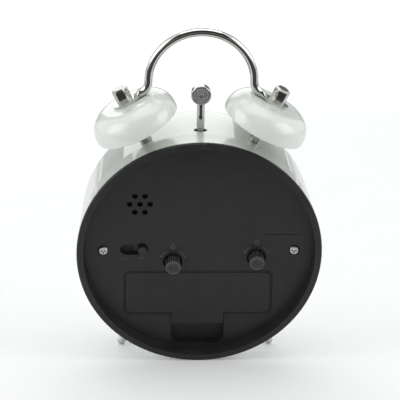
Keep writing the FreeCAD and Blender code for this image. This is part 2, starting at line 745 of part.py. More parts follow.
dial_frame = new_body("dial_frame")
turn(dial_frame, [(D.dial_hole, frame_rear), (frame_radius, frame_rear), (frame_radius, dial_rear),
                  (D.dial_hole, dial_rear)])
for x, y in screw_spots:
    rod(dial_frame, x, y, D.pillar_radius, plate_front, frame_rear - plate_front)
drill(dial_frame, screw_spots, D.screw_shank + D.seat_gap, plate_front,
      D.screw_length + D.screw_head - (plate_front - sink_floor))
node(dial_frame)


def cross_screw(label, x, y, seat, head, head_thick, shank, length):
    """A round-headed screw driven forward from the rear, its head seated at one height."""
    body = new_body(label)
    rod(body, x, y, head, seat - head_thick, head_thick)
    rod(body, x, y, shank, seat, length)
    top = (seat - head_thick).value

    def rim(edge):
        return isinstance(edge.Curve, Part.Circle) and abs(edge.Curve.Center.z - top) < 1e-5
    soften(body, head_thick * 0.4, rim)
    long, thin = D.cross_length / 2, D.cross_width / 2
    carve(body, x - long, x + long, y - thin, y + thin, seat - head_thick, D.cross_depth)
    carve(body, x - thin, x + thin, y - long, y + long, seat - head_thick, D.cross_depth)
    return body


screw_right = cross_screw("cover_screw_right", -D.screw_spread, screw_y, sink_floor, D.screw_head,
                          D.screw_head_thick, D.screw_shank, D.screw_length)
screw_left = cross_screw("cover_screw_left", D.screw_spread, screw_y, sink_floor, D.screw_head,
                         D.screw_head_thick, D.screw_shank, D.screw_length)
joined_node(group_of("cover_screws", [seat(screw_right), seat(screw_left)]))

# Battery door, tray, cell and contacts.

battery_door = new_body("battery_door")
door_x = door_half - D.door_gap
door_low, door_high = D.door_gap - D.door_foot, -(D.door_top + D.door_gap)
tab_x = D.tab_half - D.door_gap
block(battery_door, -door_x, door_x, door_low, door_high, D.plate_depth, D.door_thick)
soften(battery_door, D.door_corner - D.door_gap, upright_edge(
    (-door_x, door_low), (door_x, door_low), (-door_x, door_high), (door_x, door_high)))
block(battery_door, -tab_x, tab_x, -D.tab_foot, door_low + D.door_corner, D.plate_depth, D.door_thick)
node(battery_door)

cell_depth = plate_front + D.cell_gap + D.cell_radius
tray_y = D.cell_radius + D.cell_gap
tray_inner = (D.cell_length + D.nub_length + D.spring_length) / 2 + D.contact_thick
battery_tray = new_body("battery_tray")
block(battery_tray, -(tray_inner + D.tray_wall), tray_inner + D.tray_wall,
      door_middle - tray_y - D.tray_wall, door_middle + tray_y + D.tray_wall,
      plate_front, tray_y * 2 + D.tray_wall)
carve(battery_tray, -tray_inner, tray_inner, door_middle - tray_y, door_middle + tray_y,
      plate_front, tray_y * 2)
node(battery_tray)

along_x = FreeCAD.Rotation(V(0, 1, 0), 90)
nub_end = tray_inner - D.contact_thick
can_end = nub_end - D.nub_length
can_start = can_end - D.cell_length
cell = new_body("aa_cell")
turn(cell, [(0, can_start), (D.cell_radius, can_start), (D.cell_radius, can_end),
            (D.nub_radius, can_end), (D.nub_radius, nub_end), (0, nub_end)])
soften(cell, D.contact_thick, ring_edge((D.cell_radius, can_start), (D.cell_radius, can_end)))
node(cell, FreeCAD.Placement(V(0, door_middle.value, cell_depth.value), along_x))

positive_contact = new_body("positive_contact")
block(positive_contact, nub_end, tray_inner, door_middle - D.contact_half,
      door_middle + D.contact_half, cell_depth - D.contact_half, D.contact_half * 2)
node(positive_contact)

spring = new_body("negative_contact")
wire = spring.newObject("Sketcher::SketchObject", "spring_wire")
wire.AttachmentSupport = (origin_plane(spring, "XZ_Plane"), [""])
wire.MapMode = "FlatFace"
draw_circle(wire, D.spring_radius, D.spring_wire - tray_inner, D.spring_wire)
coil_rise = D.spring_length + D.contact_thick - D.spring_wire * 2
helix = spring.newObject("PartDesign::AdditiveHelix", "spring_helix")
helix.Profile = wire
helix.ReferenceAxis = (wire, ["V_Axis"])
helix.Mode = 0
helix.setExpression("Height", coil_rise.text)
helix.setExpression("Pitch", (coil_rise / D.spring_turns).text)
spring.Tip = helix
node(spring, FreeCAD.Placement(V(0, door_middle.value, cell_depth.value), along_x))

# Alarm switch, its housing and board, and the sounder behind the round holes.

switch_body = new_body("switch_body")
half_x, half_y = D.switch_half_x, D.switch_half_y
block(switch_body, D.slot_x - half_x, D.slot_x + half_x, slot_y - half_y, slot_y + half_y,
      plate_front, D.switch_depth)
carve(switch_body, D.slot_x - half_x + D.switch_wall, D.slot_x + half_x - D.switch_wall,
      slot_y - half_y + D.switch_wall, slot_y + half_y - D.switch_wall,
      plate_front, D.switch_depth - D.switch_wall)
node(switch_body)

circuit_board = new_body("circuit_board")
block(circuit_board, D.slot_x - half_x, D.slot_x + half_x, slot_y - D.board_drop, slot_y + half_y,
      plate_front + D.switch_depth, D.board_thick)
node(circuit_board)

button_x = D.slot_x - D.slot_length / 2 + D.button_play + D.button_radius
button_top = D.plate_depth - D.button_rise
switch_slider = new_body("switch_slider")
block(switch_slider, button_x - D.slider_half, button_x + D.slider_half, slot_y - D.slider_half,
      slot_y + D.slider_half, plate_front + D.slider_gap, D.slider_thick)
rod(switch_slider, button_x, slot_y, D.button_radius, button_top,
    plate_front + D.slider_gap - button_top)
node(switch_slider)

sounder = new_body("sounder")
rod(sounder, D.sound_x, D.sound_y, D.sounder_radius, plate_front, D.sounder_thick)
node(sounder)

# Wheel layers of the movement, counted back from the dial frame.

base_rear = frame_rear - D.move_wall
layer = D.wheel_thick + D.layer_gap
alarm_layer = base_rear - layer
hour_layer = alarm_layer - layer
minute_layer = hour_layer - layer
bridge_rear = minute_layer - D.layer_gap - D.bridge_thick
centre_layer = bridge_rear - layer
third_layer = centre_layer - layer
seconds_layer = third_layer - layer
first_layer = seconds_layer - layer
cover_front = first_layer - D.layer_gap
move_rear = cover_front - D.move_wall


def unit(x, y):
    """The direction and length of a vector."""
    length = math.hypot(x, y)
    return (x / length, y / length), length


# The alarm setter meshes with the alarm wheel at the centre, and the time setter drives the
# minute tube through the motion wheel between them, so their tooth sizes follow the knobs.
(_, alarm_reach) = unit(alarm_x.value, alarm_y.value)
(time_way, time_reach) = unit(time_x.value, time_y.value)
alarm_module = 2 * alarm_reach / (TEETH["alarm"] + TEETH["alarm_setter"])
minute_module = 2 * time_reach / (TEETH["cannon"] + 2 * TEETH["motion"] + TEETH["time_setter"])
motion_reach = minute_module * (TEETH["cannon"] + TEETH["motion"]) / 2
hour_module = 2 * motion_reach / (TEETH["motion_pinion"] + TEETH["hour"])
motion_spot = (time_way[0] * motion_reach, time_way[1] * motion_reach)
train_module = D.train_module.value
first_reach = train_module * (TEETH["first_pinion"] + TEETH["seconds"]) / 2
rotor_reach = first_reach + train_module * (TEETH["rotor"] + TEETH["first"]) / 2
rotor_way = (cosine(D.rotor_angle).value, sine(D.rotor_angle).value)
first_spot = (rotor_way[0] * first_reach, rotor_way[1] * first_reach)
rotor_spot = (rotor_way[0] * rotor_reach, rotor_way[1] * rotor_reach)
third_reach = D.third_module.value * (TEETH["third_pinion"] + TEETH["centre"]) / 2
seconds_module = 2 * third_reach / (TEETH["seconds_pinion"] + TEETH["third"])
third_way = (cosine(D.third_angle).value, sine(D.third_angle).value)
third_spot = (third_way[0] * third_reach, third_way[1] * third_reach)


def toothed(teeth, module, phase, low, high, centre=(0, 0)):
    """A toothed disc: straight-sided teeth with room for their mates, one of them at the phase."""
    pitch = module * teeth / 2
    tip = pitch + 0.75 * module
    root = pitch - 1.0 * module
    quarter = math.pi / (2 * teeth)
    corners = ((root, 1.25), (pitch, 0.72), (tip, 0.32))
    points = []
    for tooth in range(teeth):
        middle = phase + 2 * math.pi * tooth / teeth
        flank = [(radius, middle - share * quarter) for radius, share in corners]
        other = [(radius, middle + share * quarter) for radius, share in reversed(corners)]
        for radius, angle in flank + other:
            points.append(V(centre[0] + radius * math.cos(angle),
                            centre[1] + radius * math.sin(angle), low))
    wire = Part.makePolygon(points + [points[0]])
    return Part.Face(wire).extrude(V(0, 0, high - low))


def mate_phase(phase, teeth, way, mate_teeth):
    """The phase that puts a wheel's gap where its mate has a tooth."""
    step = 2 * math.pi / teeth
    toward = math.atan2(way[1], way[0])
    excess = (phase - toward + step / 2) % step - step / 2
    return toward + math.pi + math.pi / mate_teeth - excess * teeth / mate_teeth


def barrel(radius, low, high, centre=(0, 0)):
    """A plain round solid along Z."""
    return Part.makeCylinder(size(radius).value, size(high - low).value,
                             V(centre[0], centre[1], size(low).value))


def wheel(label, solids, bore=None):
    """A piece built from toothed and plain discs on one axis, with an optional bore."""
    thing = DOC.addObject("Part::Feature", label)
    thing.Label = label
    shape = solids[0].multiFuse(solids[1:]).removeSplitter() if len(solids) > 1 else solids[0]
    if bore is not None:
        shape = shape.cut(bore)
    thing.Shape = shape
    return node(thing)


thick = D.wheel_thick.value
opposite = (-time_way[0], -time_way[1])

# Hands and the tubes that carry them, from the dial outwards.
alarm_hand_z = dial_depth + D.hand_gap
hour_hand_z = alarm_hand_z + D.hand_thick + D.hand_gap
minute_hand_z = hour_hand_z + D.hand_thick + D.hand_gap
second_hand_z = minute_hand_z + D.hand_thick + D.hand_gap
centre_tube = D.second_shaft + D.run_gap + D.tube_wall
cannon_bore = centre_tube + D.run_gap
cannon_tube = cannon_bore + D.tube_wall
hour_bore = cannon_tube + D.run_gap
hour_tube = hour_bore + D.tube_wall
alarm_bore = hour_tube + D.run_gap
alarm_tube = alarm_bore + D.tube_wall

# Seconds train: the rotor drives the first wheel, the seconds wheel, the third wheel and the
# centre wheel, which carries the minute tube on a friction fit.
low = first_layer.value
rotor_phase = math.atan2(-rotor_way[1], -rotor_way[0])
wheel("rotor", [
    toothed(TEETH["rotor"], train_module, rotor_phase, low, low + thick, rotor_spot),
    barrel(D.rotor_radius, seconds_layer, seconds_layer + D.rotor_length, rotor_spot),
    barrel(D.arbor_radius, move_rear + D.seat_gap, bridge_rear + D.bridge_thick, rotor_spot)])
first_phase = mate_phase(rotor_phase, TEETH["rotor"], (-rotor_way[0], -rotor_way[1]), TEETH["first"])
pinion_phase = math.atan2(-rotor_way[1], -rotor_way[0])
low = seconds_layer.value
wheel("first_wheel", [
    toothed(TEETH["first"], train_module, first_phase, first_layer.value,
            first_layer.value + thick, first_spot),
    toothed(TEETH["first_pinion"], train_module, pinion_phase, first_layer.value, low + thick, first_spot),
    barrel(D.arbor_radius, move_rear + D.seat_gap, bridge_rear + D.bridge_thick, first_spot)])
seconds_phase = mate_phase(pinion_phase, TEETH["first_pinion"], (-rotor_way[0], -rotor_way[1]),
                           TEETH["seconds"])
pinion_phase = math.atan2(third_way[1], third_way[0])
wheel("seconds_wheel", [
    toothed(TEETH["seconds"], train_module, seconds_phase, low, low + thick),
    toothed(TEETH["seconds_pinion"], seconds_module, pinion_phase, low, third_layer.value + thick),
    barrel(D.second_shaft, move_rear + D.seat_gap, second_hand_z + D.hand_thick)])
third_phase = mate_phase(pinion_phase, TEETH["seconds_pinion"], third_way, TEETH["third"])
pinion_phase = math.atan2(-third_way[1], -third_way[0])
low = third_layer.value
wheel("third_wheel", [
    toothed(TEETH["third"], seconds_module, third_phase, low, low + thick, third_spot),
    toothed(TEETH["third_pinion"], D.third_module.value, pinion_phase, low,
            centre_layer.value + thick, third_spot),
    barrel(D.arbor_radius, move_rear + D.seat_gap, bridge_rear + D.bridge_thick, third_spot)])
centre_phase = mate_phase(pinion_phase, TEETH["third_pinion"], (-third_way[0], -third_way[1]),
                          TEETH["centre"])
low = centre_layer.value
wheel("centre_wheel", [
    toothed(TEETH["centre"], D.third_module.value, centre_phase, low, low + thick),
    barrel(centre_tube, centre_layer, minute_layer + D.wheel_thick)],
    barrel(D.second_shaft + D.run_gap, centre_layer, minute_layer + D.wheel_thick))

# Motion works: the minute tube's pinion, the motion wheel, and the hour wheel.
low = minute_layer.value
cannon_phase = math.atan2(time_way[1], time_way[0])
wheel("minute_tube", [
    toothed(TEETH["cannon"], minute_module, cannon_phase, low, low + thick),
    barrel(cannon_tube, minute_layer, minute_hand_z + D.hand_thick)],
    barrel(cannon_bore, minute_layer, minute_hand_z + D.hand_thick))
motion_phase = mate_phase(cannon_phase, TEETH["cannon"], time_way, TEETH["motion"])
pinion_phase = math.atan2(opposite[1], opposite[0])
wheel("motion_wheel", [
    toothed(TEETH["motion"], minute_module, motion_phase, low, low + thick, motion_spot),
    toothed(TEETH["motion_pinion"], hour_module, pinion_phase, low, hour_layer.value + thick, motion_spot),
    barrel(D.arbor_radius, bridge_rear, base_rear + D.move_wall / 2, motion_spot)])
hour_phase = mate_phase(pinion_phase, TEETH["motion_pinion"], opposite, TEETH["hour"])
low = hour_layer.value
wheel("hour_wheel", [
    toothed(TEETH["hour"], hour_module, hour_phase, low, low + thick),
    barrel(hour_tube, hour_layer, hour_hand_z + D.hand_thick)],
    barrel(hour_bore, hour_layer, hour_hand_z + D.hand_thick))
setter_phase = mate_phase(motion_phase, TEETH["motion"], time_way, TEETH["time_setter"])
setter_start = D.knob_face + D.knob_length / 3
low = minute_layer.value
wheel("time_setter", [
    toothed(TEETH["time_setter"], minute_module, setter_phase, low, low + thick,
            (time_x.value, time_y.value)),
    barrel(D.setter_radius, setter_start, minute_layer + D.wheel_thick, (time_x.value, time_y.value))])

# Alarm works: the alarm wheel and its setter.
low = alarm_layer.value
(alarm_way, _) = unit(alarm_x.value, alarm_y.value)
alarm_phase = math.atan2(alarm_way[1], alarm_way[0])
wheel("alarm_wheel", [
    toothed(TEETH["alarm"], alarm_module, alarm_phase, low, low + thick),
    barrel(alarm_tube, alarm_layer, alarm_hand_z + D.hand_thick)],
    barrel(alarm_bore, alarm_layer, alarm_hand_z + D.hand_thick))
setter_phase = mate_phase(alarm_phase, TEETH["alarm"], alarm_way, TEETH["alarm_setter"])
wheel("alarm_setter", [
    toothed(TEETH["alarm_setter"], alarm_module, setter_phase, low, low + thick,
            (alarm_x.value, alarm_y.value)),
    barrel(D.setter_radius, setter_start, alarm_layer + D.wheel_thick, (alarm_x.value, alarm_y.value))])


def setting_knob(label, x, y):
    """A fluted knob with a shallow dish in its face, bored for its shaft from the front."""
    body = new_body(label)
    turn(body, [
        (0, D.knob_face + D.knob_cup), (D.knob_radius * 0.62, D.knob_face + D.knob_cup),
        (D.knob_radius * 0.7, D.knob_face), (D.knob_radius - D.knob_edge, D.knob_face),
        (D.knob_radius, D.knob_face + D.knob_edge), (D.knob_radius, D.knob_face + D.knob_length),
        (D.setter_radius + D.seat_gap, D.knob_face + D.knob_length),
        (D.setter_radius + D.seat_gap, setter_start), (0, setter_start)])
    flute = draw_circle(new_sketch(body, D.knob_face), D.knob_radius, 0, D.flute_radius)
    groove = cut(body, flute, D.knob_length)
    ring = body.newObject("PartDesign::PolarPattern", label + "_flutes")
    ring.Originals = [groove]
    ring.Axis = (flute, ["N_Axis"])
    ring.Angle = 360
    ring.Occurrences = KNOB_FLUTES
    body.Tip = ring
    return node(body, FreeCAD.Placement(V(x.value, y.value, 0), FreeCAD.Rotation()))


setting_knob("alarm_knob", alarm_x, alarm_y)
setting_knob("time_knob", time_x, time_y)


def hand(label, z, bore, length, half, tail, point, angle):
    """A hand: a tapered blade with a round hub, turned clockwise from twelve as seen in front."""
    body = new_body(label)
    pad(body, draw_polygon(new_sketch(body, z), [
        (-half * 0.7, -tail), (half * 0.7, -tail), (half, 0), (half * point, length),
        (-half * point, length), (-half, 0)]), D.hand_thick)
    hub = bore + D.hub_wall
    rod(body, 0, 0, hub, z, D.hand_thick)
    drill(body, [(0, 0)], bore, z, D.hand_thick)
    return node(body, FreeCAD.Placement(V(0, 0, 0), FreeCAD.Rotation(V(0, 0, 1), -angle)))


hand("alarm_hand", alarm_hand_z, alarm_tube + D.seat_gap, D.alarm_length, D.alarm_width, 0, 0.4, 180)
hand("hour_hand", hour_hand_z, hour_tube + D.seat_gap, D.hour_length, D.hour_width, 0, 0.45, 305)
hand("minute_hand", minute_hand_z, cannon_tube + D.seat_gap, D.minute_length, D.minute_width, 0,
     0.45, 60)
hand("second_hand", second_hand_z, D.second_shaft + D.seat_gap, D.second_length, D.second_width,
     D.second_tail, 0.5, 210)

# Movement's case: base with walls and pillars, bridge plate, and the cover behind.

inner_left, inner_right = D.move_wall - D.move_left, D.move_right - D.move_wall
inner_foot, inner_top = D.move_wall - D.move_foot, D.move_top - D.move_wall
pillar_spots = [(D.clip_inset - D.move_left, D.move_top - D.clip_inset),
                (D.move_right - D.clip_inset, D.move_top - D.clip_inset)]
movement_base = new_body("movement_base")
block(movement_base, -D.move_left, D.move_right, -D.move_foot, D.move_top, cover_front,
      frame_rear - cover_front)
carve(movement_base, inner_left, inner_right, inner_foot, inner_top, cover_front,
      base_rear - cover_front)
for x, y in pillar_spots:
    rod(movement_base, x, y, D.neck_post, cover_front, base_rear - cover_front)
    rod(movement_base, x, y, D.foot_post, bridge_rear + D.bridge_thick,
        base_rear - bridge_rear - D.bridge_thick)
drill(movement_base, pillar_spots, D.clip_shank + D.seat_gap, cover_front, D.screw_length / 2)
drill(movement_base, [(0, 0)], alarm_tube + D.run_gap, base_rear, D.move_wall)
drill(movement_base, [(size(motion_spot[0]), size(motion_spot[1]))], D.arbor_radius + D.run_gap,
      base_rear, D.move_wall)
node(movement_base)

arbor_spots = [(size(x), size(y)) for x, y in (rotor_spot, first_spot, third_spot)]
setter_spots = [(alarm_x, alarm_y), (time_x, time_y)]
movement_bridge = new_body("movement_bridge")
play = D.seat_gap * 2
block(movement_bridge, inner_left + play, inner_right - play, inner_foot + play, inner_top - play,
      bridge_rear, D.bridge_thick)
drill(movement_bridge, pillar_spots, D.neck_post + D.seat_gap, bridge_rear, D.bridge_thick)
drill(movement_bridge, arbor_spots + [(size(motion_spot[0]), size(motion_spot[1]))],
      D.arbor_radius + D.run_gap, bridge_rear, D.bridge_thick)
drill(movement_bridge, setter_spots, D.setter_radius + D.run_gap, bridge_rear, D.bridge_thick)
drill(movement_bridge, [(0, 0)], centre_tube + D.run_gap, bridge_rear, D.bridge_thick)
node(movement_bridge)

movement_cover = new_body("movement_cover")
block(movement_cover, -D.move_left, D.move_right, -D.move_foot, D.move_top, move_rear, D.move_wall)
drill(movement_cover, pillar_spots, D.clip_shank + D.stud_room, move_rear, D.move_wall)
drill(movement_cover, arbor_spots, D.arbor_radius + D.run_gap, move_rear, D.move_wall)
drill(movement_cover, [(0, 0)], D.second_shaft + D.run_gap, move_rear, D.move_wall)
drill(movement_cover, setter_spots, D.setter_radius + D.run_gap, move_rear, D.move_wall)
node(movement_cover)

clips = []
for name, (x, y) in zip(("movement_screw_right", "movement_screw_left"), pillar_spots):
    clips.append(seat(cross_screw(name, x, y, move_rear, D.clip_radius, D.screw_head_thick,
                                  D.clip_shank, D.screw_length / 2)))
joined_node(group_of("movement_screws", clips))

# Coil and stator around the rotor, and the small board with the chip and the crystal.

rx, ry = size(rotor_spot[0]), size(rotor_spot[1])
hole = D.rotor_radius + D.rotor_gap
stator_low = ry - hole - D.stator_ring
stator_high = ry + D.stator_rise
stator_right = rx + hole + D.stator_ring
stator_left = rx - D.stator_reach
stator_z = seconds_layer + (D.rotor_length - D.stator_thick) / 2
window_low, window_high = stator_low + D.stator_leg, stator_high - D.stator_leg
window_left, window_right = stator_left + D.stator_leg, rx - hole - D.stator_ring
stator = new_body("stator")
block(stator, stator_left, stator_right, stator_low, stator_high, stator_z, D.stator_thick)
carve(stator, window_left, window_right, window_low, window_high, stator_z, D.stator_thick)
drill(stator, [(rx, ry)], hole, stator_z, D.stator_thick)
node(stator)

coil_x = stator_left + D.stator_leg / 2
upright = FreeCAD.Rotation(V(1, 0, 0), -90)
coil = new_body("coil")
turn(coil, [
    (0, window_low), (D.coil_radius, window_low), (D.coil_radius, window_low + D.coil_flange),
    (D.coil_radius - D.coil_flange / 2, window_low + D.coil_flange),
    (D.coil_radius - D.coil_flange / 2, window_high - D.coil_flange),
    (D.coil_radius, window_high - D.coil_flange), (D.coil_radius, window_high), (0, window_high)])
core_x, core_z = D.stator_leg / 2 + D.seat_gap, D.stator_thick / 2 + D.seat_gap
core = new_sketch(coil, window_low)
draw_polygon(core, rectangle(-core_x, core_x, -core_z, core_z))
cut(coil, core, window_high - window_low)
node(coil, FreeCAD.Placement(V(coil_x.value, 0, (stator_z + D.stator_thick / 2).value), upright))

movement_board = new_body("movement_board")
chip_x, chip_y = time_x + D.knob_radius * 2, inner_foot + D.knob_radius * 1.6
board_half = D.chip_half * 2.4
block(movement_board, chip_x - board_half, chip_x + board_half, chip_y - board_half, chip_y + board_half,
      cover_front, D.board_thick / 2)
block(movement_board, chip_x - D.chip_half, chip_x + D.chip_half, chip_y, chip_y + D.chip_half * 2,
      cover_front + D.board_thick / 2, D.chip_half / 2)
node(movement_board)

quartz_crystal = new_body("quartz_crystal")
half_can = D.crystal_length / 2
turn(quartz_crystal, [(0, -half_can), (D.crystal_radius, -half_can), (D.crystal_radius, half_can),
                      (0, half_can)])
node(quartz_crystal, FreeCAD.Placement(V(chip_x.value, (chip_y - D.chip_half * 1.2).value, (
    cover_front + D.board_thick / 2 + D.crystal_radius).value), along_x))

# Bells on their posts, the nuts, and the carrying handle over them.

post_foot = skin_radius(D.bell_depth - D.post_flat / 2) + D.seat_gap
nut_seat = skin_radius(D.bell_depth + D.inner_nut_flat / 2) - D.case_wall - D.stud_room
tab_top = bell_top + D.tab_thick
bell_place = spoke_place(D.bell_angle.value, D.bell_depth.value)

right_bell = new_body("right_bell")
lip_top = bell_lip + D.lip_height
inner_top_height = bell_top - D.bell_wall
turn(right_bell, [
    (D.bell_radius, bell_lip), (D.bell_radius, lip_top), (D.bell_waist, bell_top),
    (stud_hole, bell_top), (stud_hole, inner_top_height),
    (D.bell_waist - D.bell_wall, inner_top_height), (D.bell_radius - D.bell_wall, lip_top),
    (D.bell_radius - D.bell_wall, bell_lip)])
soften(right_bell, D.bell_round, ring_edge((D.bell_waist, bell_top)))
soften(right_bell, D.bell_round - D.bell_wall, ring_edge((D.bell_waist - D.bell_wall, inner_top_height)))
soften(right_bell, D.bell_wall * 0.35, ring_edge((D.bell_radius, bell_lip)))
node(right_bell, bell_place)
joined_node(mirror_of("left_bell", right_bell))

post = new_body("bell_post")
pad(post, draw_polygon(new_sketch(post, post_foot), hexagon(D.post_flat)), inner_top_height - post_foot)
rod(post, 0, 0, D.stud_radius, post_foot - D.stud_tail, D.stud_tail)
rod(post, 0, 0, D.stud_radius, inner_top_height, D.bell_wall + D.tab_thick + D.nut_depth - D.wheel_thick)
seat(post, bell_place)
joined_node(group_of("bell_posts", [post, mirror_of("bell_post_twin", post)]))

cap_nut = new_body("cap_nut")
pad(cap_nut, draw_polygon(new_sketch(cap_nut, tab_top), hexagon(D.nut_flat)), D.nut_height)
soften(cap_nut, D.nut_edge, level_edge(tab_top + D.nut_height), "Chamfer")
drill(cap_nut, [(0, 0)], D.stud_radius + D.seat_gap, tab_top, D.nut_depth)
seat(cap_nut, bell_place)
joined_node(group_of("cap_nuts", [cap_nut, mirror_of("cap_nut_twin", cap_nut)]))


def inner_nut(label, top):
    """A plain nut inside the shell, its outer face at one distance from the centre."""
    body = new_body(label)
    outline = new_sketch(body, top - D.inner_nut_height)
    pad(body, draw_polygon(outline, hexagon(D.inner_nut_flat)), D.inner_nut_height)
    drill(body, [(0, 0)], D.stud_radius + D.seat_gap, top - D.inner_nut_height, D.inner_nut_height)
    return body


post_nut = seat(inner_nut("post_nut", nut_seat), bell_place)
joined_node(group_of("post_nuts", [post_nut, mirror_of("post_nut_twin", post_nut)]))


def tangent_sketch(body, distance, side):
    """Adds a sketch across a flattened end, so far beyond the nut's middle."""
    sketch = body.newObject("Sketcher::SketchObject", body.Name + "_across")
    sketch.AttachmentSupport = (origin_plane(body, "YZ_Plane"), [""])
    sketch.MapMode = "FlatFace"
    distance = size(distance)
    rise = -(distance * sine(D.bell_angle))
    reach = distance * cosine(D.bell_angle) * side
    turn = FreeCAD.Rotation(V(0, 1, 0), -D.bell_angle.value * side)
    sketch.AttachmentOffset = FreeCAD.Placement(V(rise.value, 0, reach.value), turn)
    sketch.setExpression("AttachmentOffset.Base.x", rise.text)
    sketch.setExpression("AttachmentOffset.Base.z", reach.text)
    sketch.setExpression("AttachmentOffset.Rotation.Angle", (-(D.bell_angle * side)).text)
    return sketch


def line_through(sketch, points):
    """Draws an open line through points and ties them to the sheet."""
    first = sketch.GeometryCount
    points = [(size(x), size(y)) for x, y in points]
    for a, b in zip(points, points[1:]):
        sketch.addGeometry(
            Part.LineSegment(V(a[0].value, a[1].value, 0), V(b[0].value, b[1].value, 0)), False)
    for index, (x, y) in enumerate(points[:-1]):
        pin_point(sketch, first + index, 1, x, y)
    pin_point(sketch, first + len(points) - 2, 2, *points[-1])


# The rod's middle line runs over the arch, straight down, and out along each flattened end.
rod_height = bell_top + D.handle_rod
arch_centre = case_rear + D.arch_lift
arch_radius = rod_height * sine(D.bell_angle) - D.leg_inset
bend_x = arch_radius + D.handle_bend
bend_y = (rod_height + D.handle_bend - bend_x * sine(D.bell_angle)) / cosine(D.bell_angle)
bend_end = (bend_x - D.handle_bend * sine(D.bell_angle), bend_y - D.handle_bend * cosine(D.bell_angle))
press_x = rod_height * sine(D.bell_angle) - D.press_start * cosine(D.bell_angle)
press_y = rod_height * cosine(D.bell_angle) + D.press_start * sine(D.bell_angle)

handle = new_body("handle")
spine = new_sketch(handle)
for side in (1, -1):
    line_through(spine, [(arch_radius * side, arch_centre), (arch_radius * side, bend_y)])
    line_through(spine, [(bend_end[0] * side, bend_end[1]), (press_x * side, press_y)])
    middle = V(bend_x.value * side, bend_y.value, 0)
    start = V(arch_radius.value * side, bend_y.value, 0)
    end = V(bend_end[0].value * side, bend_end[1].value, 0)
    half = (start - middle) + (end - middle)
    half.normalize()
    spine.addGeometry(Part.Arc(start, middle + half * D.handle_bend.value, end), False)
top_point = V(0, (arch_centre + arch_radius).value, 0)
spine.addGeometry(Part.Arc(V(arch_radius.value, arch_centre.value, 0), top_point,
                           V(-arch_radius.value, arch_centre.value, 0)), False)
for arc, (one, two) in ((2, (0, 1)), (5, (3, 4)), (6, (0, 3))):
    for line, end in ((one, 1 if arc == 6 else 2), (two, 1)):
        spot = spine.getPoint(line, end)
        which = 1 if (spine.getPoint(arc, 1) - spot).Length < 1e-6 else 2
        spine.addConstraint(Sketcher.Constraint("Coincident", arc, which, line, end))
    if arc == 6:
        index = spine.addConstraint(
            Sketcher.Constraint("DistanceY", -1, 1, arc, 3, arch_centre.value))
        spine.setExpression("Constraints[%d]" % index, arch_centre.text)
    else:
        index = spine.addConstraint(Sketcher.Constraint("Radius", arc, D.handle_bend.value))
        spine.setExpression("Constraints[%d]" % index, D.handle_bend.text)
ring = tangent_sketch(handle, -D.press_start, 1)
draw_circle(ring, rod_height, 0, D.handle_rod)
pipe = handle.newObject("PartDesign::AdditivePipe", "handle_rod_swept")
pipe.Profile = ring
pipe.Spine = (spine, [""])
handle.Tip = pipe
DOC.recompute()
for side in (1, -1):
    round_end = tangent_sketch(handle, -D.press_start, side)
    draw_circle(round_end, rod_height, 0, D.handle_rod)
    flat_end = tangent_sketch(handle, -D.press_end, side)
    draw_polygon(flat_end, rectangle(bell_top, tab_top, -D.tab_width / 2, D.tab_width / 2))
    pressed = handle.newObject("PartDesign::AdditiveLoft", "handle_pressed")
    pressed.Profile = round_end
    pressed.Sections = [flat_end]
    pressed.Ruled = True
    handle.Tip = pressed
    tab = radial_sketch(handle, D.bell_angle * side, bell_top)
    inward, outward = sorted((-D.press_end * side, D.tab_out * side), key=lambda item: item.value)
    draw_polygon(tab, rectangle(inward, outward, -D.tab_width / 2, D.tab_width / 2))
    pad(handle, tab, D.tab_thick, back=True)
    tab = radial_sketch(handle, D.bell_angle * side, bell_top)
    draw_circle(tab, D.tab_out * side, 0, D.tab_width / 2)
    pad(handle, tab, D.tab_thick, back=True)
    hole = radial_sketch(handle, D.bell_angle * side, bell_top)
    draw_circle(hole, 0, 0, stud_hole)
    cut(handle, hole, D.tab_thick, back=False)
node(handle, FreeCAD.Placement(V(0, 0, D.bell_depth.value), FreeCAD.Rotation()))

# Hammer between the bells, on a lever inside the shell that the bell motor's crank swings.

lever_rear = D.bell_depth - D.lever_thick / 2
lever_top = hammer_pivot + D.lever_eye
fork_end = hammer_pivot - D.fork_foot
hammer_lever = new_body("hammer_lever")
block(hammer_lever, -D.fork_half, D.fork_half, fork_end, hammer_pivot, lever_rear, D.lever_thick)
block(hammer_lever, -D.lever_half, D.lever_half, hammer_pivot, lever_top, lever_rear, D.lever_thick)
carve(hammer_lever, -D.fork_slot, D.fork_slot, fork_end, hammer_pivot - D.fork_top, lever_rear,
      D.lever_thick)
drill(hammer_lever, [(0, hammer_pivot)], D.pin_radius + D.run_gap, lever_rear, D.lever_thick)
node(hammer_lever)

hammer_top = hammer_pivot + D.hammer_reach
neck_top = case_rear + D.neck_lift
head_foot = hammer_top - D.head_radius
hammer_rod = new_body("hammer_rod")
turn(hammer_rod, [
    (0, lever_top), (D.lever_thick / 2, lever_top), (D.neck_radius, lever_top + D.lever_thick / 2),
    (D.neck_radius, neck_top), (D.rod_radius, neck_top + D.rod_radius - D.neck_radius),
    (D.rod_radius, head_foot + D.rod_sink), (0, head_foot + D.rod_sink)])
node(hammer_rod, spoke_place(0, D.bell_depth.value))

head_rear = D.bell_depth - D.head_thick / 2
hammer_head = new_body("hammer_head")
rod(hammer_head, 0, 0, D.head_radius, head_rear, D.head_thick)
soften(hammer_head, D.head_edge, ring_edge((D.head_radius, head_rear),
                                           (D.head_radius, head_rear + D.head_thick)))
drill(hammer_head, [(0, 0)], D.dimple_radius, head_rear, D.dimple_depth)
bore = radial_sketch(hammer_head, 0, -D.head_radius - D.head_edge)
draw_circle(bore, 0, D.bell_depth, D.rod_radius + D.seat_gap)
cut(hammer_head, bore, D.rod_sink + D.head_edge, back=False)
node(hammer_head, FreeCAD.Placement(V(0, hammer_top.value, 0), FreeCAD.Rotation()))

